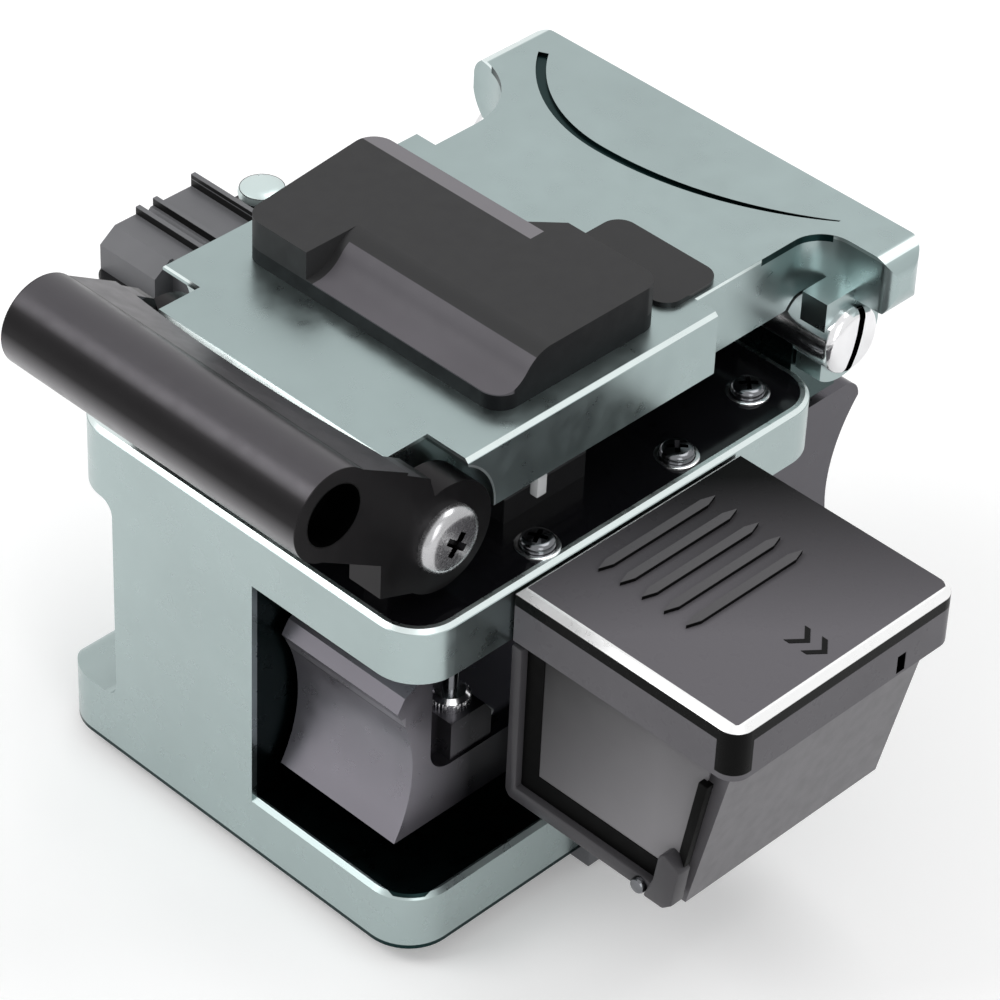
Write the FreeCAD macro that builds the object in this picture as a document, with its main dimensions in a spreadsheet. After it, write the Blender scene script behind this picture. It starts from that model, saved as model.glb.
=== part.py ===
"""Bench-top optical fibre cleaver: C-shaped body, sprung lid, sliding blade carriage and scrap bin.

Millimetres. +Z is up, the operator stands on the -Y side and the scrap bin hangs on the +X side.
The origin is the centre of the base, on the underside of its rubber pad.
"""
import FreeCAD, Part
import os

import Sketcher

Vector = FreeCAD.Vector
Rotation = FreeCAD.Rotation

# ---------------------------------------------------------------- driving dimensions

SIZES = [
    # body frame
    ("base_width", 56.0), ("body_depth", 62.0), ("base_thick", 7.5), ("window_height", 29.5),
    ("deck_thick", 6.9), ("base_reach", 2.8), ("corner_radius", 5.5), ("neck_inset", 10.0),
    ("window_reach", 24.1), ("lip_drop", 2.0), ("neck_fillet", 1.9), ("rim_width", 1.0),
    ("plate_thick", 1.0), ("edge_bevel", 0.5), ("pad_thick", 2.2), ("pad_inset", 3.0),
    # fits
    ("fit", 0.05), ("gap", 0.3),
    # lid; it shares one centre plane with the hinge
    ("top_offset", 1.4), ("lid_lift", 7.8), ("lid_thick", 7.8), ("lid_half", 22.6),
    ("tongue_half", 16.8), ("tongue_inset", 4.3), ("notch_depth", 6.2), ("saddle_length", 26.0),
    ("waist_half", 19.2), ("wing_half", 29.4), ("left_wing_start", 1.2),
    ("right_wing_start", 4.8), ("right_flare", 4.0), ("lid_reach", 11.0), ("saddle_drop", 1.2),
    ("wing_roll", 5.2), ("wing_rise", 6.0), ("wing_corner", 3.0), ("wing_crown", 2.6),
    ("wing_nick", 1.5), ("head_room", 0.5), ("groove_depth", 0.4), ("groove_width", 1.1),
    ("groove_left", 24.8), ("groove_right", 20.1), ("groove_low", 6.7), ("groove_tip", 4.3),
    ("groove_sweep", 9.5),
    # hinge behind the deck
    ("hinge_reach", 3.9), ("hinge_lift", 4.3), ("block_half", 20.8), ("block_bottom", 40.0),
    ("hollow_clear", 0.5), ("rear_under", 3.6), ("ear_thick", 3.5), ("ear_round", 5.5),
    ("ear_front", 3.5), ("hinge_pin_radius", 2.0), ("hinge_pin_depth", 8.0),
    ("hinge_head_radius", 4.1), ("right_head_height", 1.8),
    ("slot_width", 1.1), ("slot_depth", 0.9),
    # lid cap and label plate
    ("cap_left_front", 17.9), ("cap_left_rear", 20.1), ("cap_right_half", 19.7),
    ("cap_inset", 13.3), ("cap_length", 20.8), ("cap_step", 3.0), ("cap_step_at", 6.0),
    ("cap_height", 5.4), ("cap_round", 2.6), ("scoop_floor", 2.0), ("scoop_radius", 4.2),
    ("scoop_lip", 0.6), ("horn_width", 9.5), ("label_right_half", 18.9), ("label_length", 15.0),
    ("label_gap", 1.6), ("label_width", 8.6), ("label_thick", 0.6), ("label_round", 2.2),
    # release lever and its lugs
    ("lever_left_half", 19.6), ("lever_right_half", 23.3), ("left_arm", 2.5), ("right_arm", 4.4),
    ("lever_bar_reach", 8.5), ("lever_bar_lift", 19.4), ("lever_bar_radius", 5.2),
    ("lever_bore_radius", 3.45), ("lever_bore_depth", 4.0), ("arm_run", 10.0), ("arm_drop", 6.0),
    ("shoulder_back", 2.4), ("shoulder_up", 8.7), ("heel_back", 8.9), ("heel_top", 1.3),
    ("heel_bottom", 2.9), ("pivot_inset", 6.9), ("pivot_lift", 8.2), ("boss_radius", 6.4),
    ("relief_radius", 7.5), ("pivot_pin_radius", 1.5), ("pivot_head_radius", 3.9),
    ("pivot_head_height", 1.6), ("lug_thick", 3.4), ("lug_round", 3.2), ("lug_toe", 2.0),
    ("lug_toe_height", 3.0), ("web_reach", 8.6), ("web_thick", 2.5), ("web_hollow", 1.6),
    ("bar_sink", 0.2), ("pin_short", 0.4),
    # carriage, rail and blade
    ("rail_width", 5.0), ("rail_height", 3.6), ("rail_inset", 12.0), ("block_width", 12.0),
    ("block_lift", 1.0),
    ("block_height", 6.0), ("block_length", 20.0), ("block_inset", 21.0), ("carriage_width", 17.4),
    ("carriage_inset", 3.4), ("carriage_reach", 12.4), ("carriage_lift", 3.6),
    ("lane_clear", 1.0), ("rail_screw_inset", 8.0), ("rail_head_radius", 1.7),
    ("grip_height", 19.6), ("grip_hollow", 18.0), ("stroke", 20.0),
    ("blade_radius", 8.0), ("blade_thick", 1.6), ("blade_from_left", 8.2), ("holder_thick", 1.6),
    ("holder_crown", 2.6), ("axle_radius", 1.5), ("axle_head", 1.0), ("fibre_y", -5.0),
    ("fibre_lift", 4.5), ("slot_clear", 1.0), ("pocket_inset", 5.0), ("pocket_length", 39.0),
    ("pocket_depth", 12.6), ("pocket_lift", 6.5), ("pocket_round", 3.0),
    # clamps and anvil
    ("clamp_width", 4.6), ("clamp_depth", 12.0), ("clamp_pad", 1.3), ("clamp_margin", 0.6),
    ("anvil_width", 2.0), ("anvil_depth", 8.0), ("anvil_travel", 0.6),
    # fibre holder on its shelf
    ("shelf_reach", 16.6), ("shelf_lead", 8.5), ("shelf_depth", 26.0), ("shelf_thick", 4.2),
    ("shelf_round", 3.0), ("holder_height", 4.8), ("holder_lead", 6.8), ("holder_depth", 14.0),
    ("holder_overlap", 4.0), ("fin_thick", 0.6), ("fin_height", 1.0), ("groove_gap", 1.9),
    ("post_inset", 5.0), ("post_back", 21.5), ("post_radius", 2.6), ("post_height", 4.1),
    # scrap bin and its rocker lid
    ("bin_lead", 10.4), ("bin_depth", 29.6), ("bin_length", 28.6), ("bin_taper", 4.4),
    ("bin_floor_z", 18.0), ("bin_wall", 1.8), ("bin_top_drop", 5.4), ("bin_skirt", 6.8),
    ("tilt_room", 2.5), ("catch_inset", 22.4), ("catch_width", 1.3), ("catch_height", 2.3),
    ("rocker_thick", 2.4), ("rocker_wall", 1.6), ("rocker_round", 2.2),
    ("rocker_pin_reach", 14.7),
    ("rocker_pin_drop", 2.6), ("stub_radius", 1.3), ("stub_length", 0.9), ("rib_first", 4.1),
    ("rib_pitch", 3.03), ("rib_length", 17.5), ("rib_width", 1.1), ("rib_height", 0.5),
    ("window_margin", 3.4), ("panel_lap", 1.4), ("panel_thick", 1.0), ("strap_inset", 10.4),
    ("strap_width", 8.0), ("strap_thick", 1.6), ("strap_tail", 8.0),
    # fasteners
    ("dome_radius", 1.9), ("dome_height", 1.3), ("screw_edge", 3.6), ("front_screw_edge", 3.1),
    ("front_screw_back", 4.6), ("rear_screw_edge", 6.0), ("rear_screw_back", 6.7),
    ("left_screw_back", 10.8),
]

doc = FreeCAD.newDocument("fibre_cleaver")
sheet = doc.addObject("Spreadsheet::Sheet", "Sizes")
for row, (alias, value) in enumerate(SIZES, start=1):
    sheet.set(f"A{row}", alias)
    sheet.set(f"B{row}", str(value))
    sheet.setAlias(f"B{row}", alias)
doc.recompute()


class Dim:
    """A length that carries its present value and the sheet expression it comes from."""

    def __init__(self, value, text):
        self.value = value
        self.text = text

    def __add__(self, other):
        return Dim(self.value + number(other), f"({self.text} + {text(other)})")

    def __radd__(self, other):
        return Dim(number(other) + self.value, f"({text(other)} + {self.text})")

    def __sub__(self, other):
        return Dim(self.value - number(other), f"({self.text} - {text(other)})")

    def __rsub__(self, other):
        return Dim(number(other) - self.value, f"({text(other)} - {self.text})")

    def __mul__(self, other):
        return Dim(self.value * number(other), f"({self.text} * {text(other)})")

    __rmul__ = __mul__

    def __truediv__(self, other):
        return Dim(self.value / number(other), f"({self.text} / {text(other)})")

    def __neg__(self):
        return Dim(-self.value, f"(-1 * {self.text})")


def number(size):
    return size.value if isinstance(size, Dim) else float(size)


def text(size):
    return size.text if isinstance(size, Dim) else repr(float(size))


def root(size):
    return Dim(number(size) ** 0.5, f"sqrt({text(size)})")


def cell(alias):
    return Dim(float(sheet.get(alias)), f"Sizes.{alias}")


class Cells:
    """Sizes by name: S.body_depth is the sheet's body_depth."""

    def __getattr__(self, alias):
        return cell(alias)


S = Cells()

# ---------------------------------------------------------------- derived places

BASE_LEFT, RIGHT = -S.base_width / 2, S.base_width / 2
LEFT = BASE_LEFT + S.base_reach
FRONT, REAR = -S.body_depth / 2, S.body_depth / 2
BASE_BOTTOM = S.pad_thick
BASE_TOP = BASE_BOTTOM + S.base_thick
DECK_BOTTOM = BASE_TOP + S.window_height
LIP_Z = DECK_BOTTOM - S.lip_drop
DECK_TOP = DECK_BOTTOM + S.deck_thick
WALL_LEFT = BASE_LEFT + S.neck_inset
WALL_RIGHT = RIGHT - S.window_reach

MIDDLE = S.top_offset
LID_BOTTOM = DECK_TOP + S.lid_lift
LID_TOP = LID_BOTTOM + S.lid_thick
SADDLE_BOTTOM = LID_BOTTOM - S.saddle_drop
TONGUE_FRONT = FRONT + S.tongue_inset
NOTCH_Y = TONGUE_FRONT + S.notch_depth
LID_REAR = REAR + S.lid_reach
STRIP_END = LID_REAR - S.saddle_length
LEFT_WING_Y, RIGHT_WING_Y = REAR + S.left_wing_start, REAR + S.right_wing_start
CAP_FRONT = TONGUE_FRONT + S.cap_inset
CAP_REAR = CAP_FRONT + S.cap_length
CAP_LEFT, CAP_LEFT_REAR = MIDDLE - S.cap_left_front, MIDDLE - S.cap_left_rear
CAP_RIGHT = MIDDLE + S.cap_right_half
HINGE_Y = REAR + S.hinge_reach
HINGE_Z = DECK_TOP + S.hinge_lift
EAR_INNER = S.block_half + S.gap
EAR_OUTER = EAR_INNER + S.ear_thick
LEFT_HEAD = S.wing_half - EAR_OUTER - S.fit

PIVOT_Y, PIVOT_Z = FRONT + S.pivot_inset, DECK_TOP + S.pivot_lift
BAR_Y, BAR_Z = FRONT - S.lever_bar_reach, DECK_TOP + S.lever_bar_lift
LEVER_LEFT, LEVER_RIGHT = MIDDLE - S.lever_left_half, MIDDLE + S.lever_right_half
ARM_LEFT = LEVER_LEFT + S.left_arm
ARM_RIGHT = LEVER_RIGHT - S.right_arm

CARRIAGE_LEFT = WALL_RIGHT + 3 * S.gap
CARRIAGE_RIGHT = CARRIAGE_LEFT + S.carriage_width
CARRIAGE_MIDDLE = (CARRIAGE_LEFT + CARRIAGE_RIGHT) / 2
CARRIAGE_BOTTOM = BASE_TOP + S.carriage_lift
CARRIAGE_TOP = DECK_BOTTOM - 2 * S.gap
CARRIAGE_FRONT, CARRIAGE_REAR = FRONT + S.carriage_inset, REAR + S.carriage_reach
RAIL_FRONT = FRONT + S.rail_inset
BLOCK_FRONT = RAIL_FRONT + S.block_inset
LANE_FRONT = RAIL_FRONT - S.lane_clear
POCKET_FRONT = CARRIAGE_FRONT + S.pocket_inset
POCKET_REAR = POCKET_FRONT + S.pocket_length
POCKET_BOTTOM = CARRIAGE_BOTTOM + S.pocket_lift
BLADE_X = CARRIAGE_LEFT + S.blade_from_left
FIBRE_Z = DECK_TOP + S.fibre_lift
BLADE_Y = S.fibre_y + S.stroke / 2
BLADE_Z = FIBRE_Z - S.blade_radius
HOLDER_X = BLADE_X - S.blade_thick / 2 - S.gap - S.holder_thick
AXLE_END = BLADE_X + S.blade_thick / 2 + S.gap
SLOT_LEFT = HOLDER_X - S.slot_clear / 2
SLOT_RIGHT = AXLE_END + S.axle_head + S.slot_clear / 2

SHELF_LEFT, SHELF_FRONT = LEFT - S.shelf_reach, S.fibre_y - S.shelf_lead
HOLDER_FRONT = S.fibre_y - S.holder_lead
POST_X, POST_Y = SHELF_LEFT + S.post_inset, SHELF_FRONT + S.post_back

BIN_TOP = DECK_TOP - S.rocker_thick - S.gap
BIN_RIGHT = RIGHT + S.bin_length
BIN_FRONT = S.fibre_y - S.bin_lead
BIN_REAR = BIN_FRONT + S.bin_depth
ROCKER_PIN_X = RIGHT + S.rocker_pin_reach
STRAP_FRONT = BIN_FRONT + S.strap_inset
ROCKER_PIN_Z = BIN_TOP - S.rocker_pin_drop

# ---------------------------------------------------------------- modelling helpers

NODES = []
ARC = "arc"
AXIS_TURN = {
    "X": Rotation(Vector(0, 1, 0), 90),
    "Y": Rotation(Vector(1, 0, 0), -90),
    "Z": Rotation(),
}
AXIS_VECTOR = {"X": Vector(1, 0, 0), "Y": Vector(0, 1, 0), "Z": Vector(0, 0, 1)}


def bind(thing, path, size):
    """Ties one property to the sheet."""
    thing.setExpression(path, text(size))


def node(thing, name):
    """Marks an object as the sub-part of that name."""
    thing.Label = name
    NODES.append(thing)
    return thing


def place(thing, corner):
    for axis, size in zip("xyz", corner):
        bind(thing, f".Placement.Base.{axis}", size)


def box(name, corner, size):
    thing = doc.addObject("Part::Box", name)
    for side, length in zip(("Length", "Width", "Height"), size):
        bind(thing, side, length)
    place(thing, corner)
    return thing


def cylinder(name, axis, start, radius, length):
    thing = doc.addObject("Part::Cylinder", name)
    thing.Placement = FreeCAD.Placement(Vector(), AXIS_TURN[axis])
    bind(thing, "Radius", radius)
    bind(thing, "Height", length)
    place(thing, start)
    return thing


def join(name, things, kind="Part::MultiFuse"):
    thing = doc.addObject(kind, name)
    thing.Shapes = things
    return thing


def cut(name, base, tools):
    thing = doc.addObject("Part::Cut", name)
    thing.Base = base
    thing.Tool = tools[0] if len(tools) == 1 else join(name + "_tools", tools)
    return thing


def group(name, things):
    """Several like solids in one sub-part."""
    thing = doc.addObject("Part::Compound", name)
    thing.Links = things
    return node(thing, name)


def body(name):
    return node(doc.addObject("PartDesign::Body", name), name)


def arc_mid(start, end, radius, side):
    """Middle point of the shorter arc from start to end, its centre on the left (1) or right (-1)."""
    chord = end - start
    half = chord.Length / 2
    radius = max(radius, half)
    normal = Vector(-chord.y, chord.x, 0).normalize() * side
    centre = start + chord * 0.5 + normal * (radius ** 2 - half ** 2) ** 0.5
    return centre - normal * radius


def draw(sketch, outline):
    """Closed outline whose corners are tied to the sheet; (ARC, radius, side) bends the stretch
    between the corners before and after it."""
    corners = []
    bends = []
    for step in outline:
        if step[0] == ARC:
            bends[-1] = step
        else:
            corners.append(step)
            bends.append(None)
    count = len(corners)
    points = [Vector(number(x), number(y), 0) for x, y in corners]
    ends = []
    for i, bend in enumerate(bends):
        start, end = points[i], points[(i + 1) % count]
        if bend is None:
            index = sketch.addGeometry(Part.LineSegment(start, end))
            ends.append((index, 1, 2))
            continue
        middle = arc_mid(start, end, number(bend[1]), bend[2])
        index = sketch.addGeometry(Part.Arc(start, middle, end))
        turns_left = (middle - start).cross(end - middle).z > 0
        ends.append((index, 1, 2) if turns_left else (index, 2, 1))
    for i in range(count):
        following = ends[(i + 1) % count]
        sketch.addConstraint(Sketcher.Constraint("Coincident", ends[i][0], ends[i][2],
                                                 following[0], following[1]))
    for i, (x, y) in enumerate(corners):
        for kind, size in (("DistanceX", x), ("DistanceY", y)):
            index = sketch.addConstraint(
                Sketcher.Constraint(kind, -1, 1, ends[i][0], ends[i][1], number(size)))
            if isinstance(size, Dim):
                bind(sketch, f"Constraints[{index}]", size)
    for i, bend in enumerate(bends):
        if bend is not None:
            index = sketch.addConstraint(Sketcher.Constraint("Radius", ends[i][0], number(bend[1])))
            if isinstance(bend[1], Dim):
                bind(sketch, f"Constraints[{index}]", bend[1])


def draw_circle(sketch, x, y, radius):
    index = sketch.addGeometry(Part.Circle(Vector(number(x), number(y), 0), Vector(0, 0, 1),
                                           number(radius)))
    for kind, size in (("DistanceX", x), ("DistanceY", y)):
        slot = sketch.addConstraint(Sketcher.Constraint(kind, -1, 1, index, 3, number(size)))
        bind(sketch, f"Constraints[{slot}]", size)
    slot = sketch.addConstraint(Sketcher.Constraint("Radius", index, number(radius)))
    bind(sketch, f"Constraints[{slot}]", radius)


def new_sketch(owner, name, plane, start):
    """Sketch on one of the body's own planes, moved to the given place along the plane's axis."""
    sketch = owner.newObject("Sketcher::SketchObject", name + "_sketch")
    role = plane + "_Plane"
    support = next(item for item in owner.Origin.OriginFeatures if item.Role == role)
    sketch.AttachmentSupport = [(support, "")]
    sketch.MapMode = "FlatFace"
    bind(sketch, "AttachmentOffset.Base.z", -start if plane == "XZ" else start)
    return sketch


def settled(owner, feature):
    """Recomputes, and stops at the first feature that fails."""
    doc.recompute()
    if "Invalid" in feature.State or not feature.Shape.isValid():
        raise RuntimeError(f"{owner.Label}: {feature.Name} failed")
    return feature


def grow(owner, name, kind, plane, start, length, outlines, circles):
    sketch = new_sketch(owner, name, plane, start)
    for outline in outlines:
        draw(sketch, outline)
    for circle in circles:
        draw_circle(sketch, *circle)
    feature = owner.newObject(kind, name)
    feature.Profile = sketch
    bind(feature, "Length", length)
    along = plane != "XZ"
    feature.Reversed = along if kind == "PartDesign::Pocket" else not along
    return settled(owner, feature)


def pad(owner, name, plane, start, length, *outlines, circles=()):
    """Material from start onwards, towards the plus side of the plane's axis."""
    return grow(owner, name, "PartDesign::Pad", plane, start, length, outlines, circles)


def pocket(owner, name, plane, start, length, *outlines, circles=()):
    """A cut from start onwards, towards the plus side of the plane's axis; it must remove material."""
    before = owner.Shape.Volume
    feature = grow(owner, name, "PartDesign::Pocket", plane, start, length, outlines, circles)
    if owner.Shape.Volume > before - 1e-6:
        raise RuntimeError(f"{owner.Label}: {name} removes nothing")
    return feature


def rectangle(x0, y0, x1, y1):
    return [(x0, y0), (x1, y0), (x1, y1), (x0, y1)]


def round_rectangle(x0, y0, x1, y1, r):
    bend = (ARC, r, 1)
    return [(x0 + r, y0), (x1 - r, y0), bend, (x1, y0 + r), (x1, y1 - r), bend, (x1 - r, y1),
            (x0 + r, y1), bend, (x0, y1 - r), (x0, y0 + r), bend]


def near(value, choices):
    if choices is None:
        return True
    if not isinstance(choices, (list, tuple)):
        choices = (choices,)
    return any(abs(value - number(choice)) < 0.02 for choice in choices)


def runs_along(edge, axis):
    """True for a straight edge parallel to the axis."""
    if len(edge.Vertexes) != 2:
        return False
    span = edge.Vertexes[1].Point - edge.Vertexes[0].Point
    straight = abs(span.Length - edge.Length) < 1e-6
    return straight and abs(abs(span.dot(AXIS_VECTOR[axis])) - span.Length) < 1e-6


def edges_at(shape, axis=None, x=None, y=None, z=None, test=None):
    """Names of the edges whose middle is at these places and which run along axis, if one is given."""
    names = []
    for index, edge in enumerate(shape.Edges, start=1):
        middle = edge.CenterOfMass
        if axis and not runs_along(edge, axis):
            continue
        if near(middle.x, x) and near(middle.y, y) and near(middle.z, z):
            if test is None or test(middle):
                names.append(f"Edge{index}")
    return names


def dress(owner, name, kind, size_name, size, **where):
    base = owner.Tip
    names = edges_at(base.Shape, **where)
    if not names:
        raise RuntimeError(f"{owner.Label}: {name} finds no edge")
    feature = owner.newObject(kind, name)
    feature.Base = (base, names)
    bind(feature, size_name, size)
    return settled(owner, feature)


def fillet(owner, name, radius, **where):
    return dress(owner, name, "PartDesign::Fillet", "Radius", radius, **where)


def bevel(owner, name, size, **where):
    return dress(owner, name, "PartDesign::Chamfer", "Size", size, **where)


# ---------------------------------------------------------------- body frame and deck


def blade_slot():
    """Plan of the slot that the wheel, its holder and its axle head travel in."""
    reach = S.blade_radius + S.slot_clear
    return round_rectangle(SLOT_LEFT, BLADE_Y - S.stroke - reach, SLOT_RIGHT, BLADE_Y + reach,
                           S.slot_clear)


def deck_screw_places():
    rear_y = REAR - S.rear_screw_back
    return [(RIGHT - S.front_screw_edge, BIN_FRONT + S.front_screw_back),
            (RIGHT - S.screw_edge, BIN_REAR - S.screw_edge), (RIGHT - S.rear_screw_edge, rear_y),
            (LEFT + S.screw_edge, FRONT + S.left_screw_back), (LEFT + S.screw_edge, rear_y)]


def rail_screw_places():
    return [(CARRIAGE_MIDDLE, y) for y in (RAIL_FRONT + S.rail_screw_inset,
                                           REAR - S.rail_screw_inset)]


def body_frame():
    """Base and upright wall of the C-shaped body."""
    part = body("body_frame")
    pad(part, "base_plan", "XY", BASE_BOTTOM, S.base_thick,
        round_rectangle(BASE_LEFT, FRONT, RIGHT, REAR, S.corner_radius))
    n = S.neck_fillet
    wall = [(WALL_LEFT - n, BASE_TOP), (ARC, n, 1), (WALL_LEFT, BASE_TOP + n), (WALL_LEFT, LIP_Z - n),
            (ARC, n, 1), (WALL_LEFT - n, LIP_Z), (WALL_RIGHT, LIP_Z), (WALL_RIGHT, BASE_TOP)]
    pad(part, "wall", "XZ", FRONT, S.body_depth, wall)
    heel = [(BASE_LEFT - 1, BASE_TOP - n), (BASE_LEFT, BASE_TOP - n), (ARC, n, -1),
            (BASE_LEFT + n, BASE_TOP), (BASE_LEFT + n, BASE_TOP + 1), (BASE_LEFT - 1, BASE_TOP + 1)]
    pocket(part, "heel_round", "XZ", FRONT - 1, S.body_depth + 2, heel)
    bevel(part, "window_bevel", S.edge_bevel, z=BASE_TOP,
          test=lambda middle: middle.x > number(WALL_RIGHT) + 1)


def deck_frame():
    """Head of the C-shaped body, with the lip over the left hand recess."""
    part = body("deck_frame")
    pad(part, "head_plan", "XY", LIP_Z, DECK_TOP - LIP_Z,
        round_rectangle(LEFT, FRONT, RIGHT, REAR, S.corner_radius))
    pocket(part, "window", "XZ", FRONT - 1, S.body_depth + 2,
           rectangle(WALL_RIGHT, LIP_Z - 1, RIGHT + 1, DECK_BOTTOM))
    n = S.neck_fillet
    lip = [(LEFT - 1, LIP_Z - 1), (LEFT + n, LIP_Z - 1), (LEFT + n, LIP_Z), (ARC, n, -1),
           (LEFT, LIP_Z + n), (LEFT - 1, LIP_Z + n)]
    pocket(part, "lip_round", "XZ", FRONT - 1, S.body_depth + 2, lip)
    bevel(part, "deck_bevel", S.edge_bevel, z=DECK_TOP)
    floor = DECK_TOP - S.plate_thick
    pocket(part, "plate_recess", "XY", floor, S.plate_thick,
           round_rectangle(LEFT + S.rim_width, FRONT + S.rim_width, RIGHT - S.rim_width,
                           REAR - S.rim_width, S.corner_radius - S.rim_width))
    pocket(part, "deck_slot", "XY", DECK_BOTTOM, S.deck_thick, blade_slot())


def deck_plate():
    part = body("deck_plate")
    inset = S.rim_width + S.fit
    pad(part, "plate", "XY", DECK_TOP - S.plate_thick, S.plate_thick,
        round_rectangle(LEFT + inset, FRONT + inset, RIGHT - inset, REAR - inset,
                        S.corner_radius - S.rim_width - S.fit))
    pocket(part, "plate_slot", "XY", DECK_TOP - S.plate_thick, S.plate_thick, blade_slot())


def dome_screw(name, axis, seat, out, head_radius, head_height, shank_radius, shank_length):
    """A screw whose head stands on its seat; out is +1 where the head points along the axis."""
    index = "XYZ".index(axis)

    def shifted(distance):
        point = list(seat)
        point[index] = point[index] + distance
        return tuple(point)

    head_start = shifted(0.0 if out > 0 else -head_height)
    shank_start = shifted(-shank_length if out > 0 else 0.0)
    head = cylinder(name + "_head", axis, head_start, head_radius, head_height)
    shank = cylinder(name + "_shank", axis, shank_start, shank_radius, shank_length)
    return join(name, [head, shank])


def deck_screws():
    """Heads only: the shanks are out of sight in the deck."""
    group("deck_screws", [
        cylinder(f"deck_screw_{i}", "Z", (x, y, DECK_TOP), S.dome_radius, S.dome_height)
        for i, (x, y) in enumerate(deck_screw_places())])


def base_pad():
    part = body("base_pad")
    inset = S.pad_inset
    pad(part, "sheet", "XY", 0.0, S.pad_thick,
        round_rectangle(BASE_LEFT + inset, FRONT + inset, RIGHT - inset, REAR - inset,
                        S.corner_radius - inset))
    pocket(part, "strap_notch", "XY", 0.0, S.pad_thick,
           rectangle(RIGHT - S.strap_tail - S.gap, STRAP_FRONT - S.gap, RIGHT,
                     STRAP_FRONT + S.strap_width + S.gap))


# ---------------------------------------------------------------- hinge


def hinge_block():
    part = body("hinge_block")
    round_r = S.hinge_reach
    front, rear = HINGE_Y - round_r, HINGE_Y + round_r
    profile = [(front, S.block_bottom), (rear, S.block_bottom), (rear, HINGE_Z), (ARC, round_r, 1),
               (HINGE_Y, HINGE_Z + round_r), (ARC, round_r, 1), (front, HINGE_Z)]
    pad(part, "block", "YZ", MIDDLE - S.block_half, 2 * S.block_half, profile)
    for name, start in (("left_bore", MIDDLE - S.block_half),
                        ("right_bore", MIDDLE + S.block_half - S.hinge_pin_depth)):
        pocket(part, name, "YZ", start, S.hinge_pin_depth,
               circles=[(HINGE_Y, HINGE_Z, S.hinge_pin_radius + S.fit)])


def slotted_screw(name, side, head_height):
    """Shoulder screw through one lid ear, side +1 on the right."""
    seat = MIDDLE + side * (EAR_OUTER + S.fit)
    shank = S.ear_thick + S.gap + S.hinge_pin_depth - 0.5
    screw = dome_screw(name + "_body", "X", (seat, HINGE_Y, HINGE_Z), side, S.hinge_head_radius,
                       head_height, S.hinge_pin_radius, shank)
    reach = 2 * S.hinge_head_radius
    slot_start = head_height - S.slot_depth if side > 0 else -head_height
    slot = box(name + "_slot", (seat + slot_start, HINGE_Y - S.slot_width / 2,
                                HINGE_Z - S.hinge_head_radius), (S.slot_depth, S.slot_width, reach))
    return cut(name, screw, [slot])


def hinge_screws():
    group("hinge_screws", [slotted_screw("hinge_screw_left", -1, LEFT_HEAD),
                           slotted_screw("hinge_screw_right", 1, S.right_head_height)])


# ---------------------------------------------------------------- lid


def saddle_plan():
    """Outline of the lid's rear part: a waist that flares into two wings."""
    right_waist, left_waist = MIDDLE + S.waist_half, MIDDLE - S.waist_half
    right_tip, left_tip = MIDDLE + S.wing_half, MIDDLE - S.wing_half
    left_flare = S.wing_half - S.waist_half
    corner = (ARC, S.wing_corner, 1)
    nick = S.wing_nick
    return [(left_waist, STRIP_END), (right_waist, STRIP_END),
            (right_waist, RIGHT_WING_Y - S.right_flare), (ARC, S.right_flare, -1),
            (right_waist + S.right_flare, RIGHT_WING_Y),
            (right_tip - nick, RIGHT_WING_Y), (ARC, nick, 1),
            (right_tip, RIGHT_WING_Y + nick), (right_tip, LID_REAR - S.wing_corner), corner,
            (right_tip - S.wing_corner, LID_REAR), (left_tip + S.wing_corner, LID_REAR), corner,
            (left_tip, LID_REAR - S.wing_corner), (left_tip, LEFT_WING_Y),
            (ARC, left_flare, -1), (left_waist, LEFT_WING_Y - left_flare)]


def lid_plate():
    """Front slab of the lid: a tongue between two notches for the lever's arms."""
    part = body("lid_plate")
    plan = [(MIDDLE - S.tongue_half, TONGUE_FRONT), (MIDDLE + S.tongue_half, TONGUE_FRONT),
            (MIDDLE + S.tongue_half, NOTCH_Y), (MIDDLE + S.lid_half, NOTCH_Y),
            (MIDDLE + S.lid_half, STRIP_END), (MIDDLE - S.lid_half, STRIP_END),
            (MIDDLE - S.lid_half, NOTCH_Y), (MIDDLE - S.tongue_half, NOTCH_Y)]
    pad(part, "front_slab", "XY", LID_BOTTOM, S.lid_thick, plan)
    strip = S.lid_half - S.tongue_half + 1
    relief = [(PIVOT_Y, PIVOT_Z, S.relief_radius)]
    pocket(part, "right_relief", "YZ", MIDDLE + S.tongue_half, strip, circles=relief)
    pocket(part, "left_relief", "YZ", MIDDLE - S.tongue_half - strip, strip, circles=relief)
    room = S.lug_round + S.gap + 0.1
    nest = [(PIVOT_Y - room, LID_BOTTOM - 1), (PIVOT_Y + room, LID_BOTTOM - 1),
            (PIVOT_Y + room, PIVOT_Z), (ARC, room, 1), (PIVOT_Y, PIVOT_Z + room),
            (ARC, room, 1), (PIVOT_Y - room, PIVOT_Z)]
    pocket(part, "right_nest", "YZ", ARM_RIGHT - S.lug_thick - 2 * S.gap, S.lug_thick + S.gap, nest)
    pocket(part, "left_nest", "YZ", ARM_LEFT, S.lug_thick + 2 * S.gap, nest)
    bevel(part, "front_bevel", S.edge_bevel, axis="X", y=TONGUE_FRONT, z=LID_TOP)
    bevel(part, "side_bevel", S.edge_bevel, axis="Y", z=LID_TOP,
          x=(MIDDLE - S.lid_half, MIDDLE + S.lid_half))


def bowl_radius(tip, low):
    """Radius of the arc that runs level through its low point and ends at the tip."""
    across, up = tip[0] - low[0], tip[1] - low[1]
    return (across * across + up * up) / (2 * up)


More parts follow.
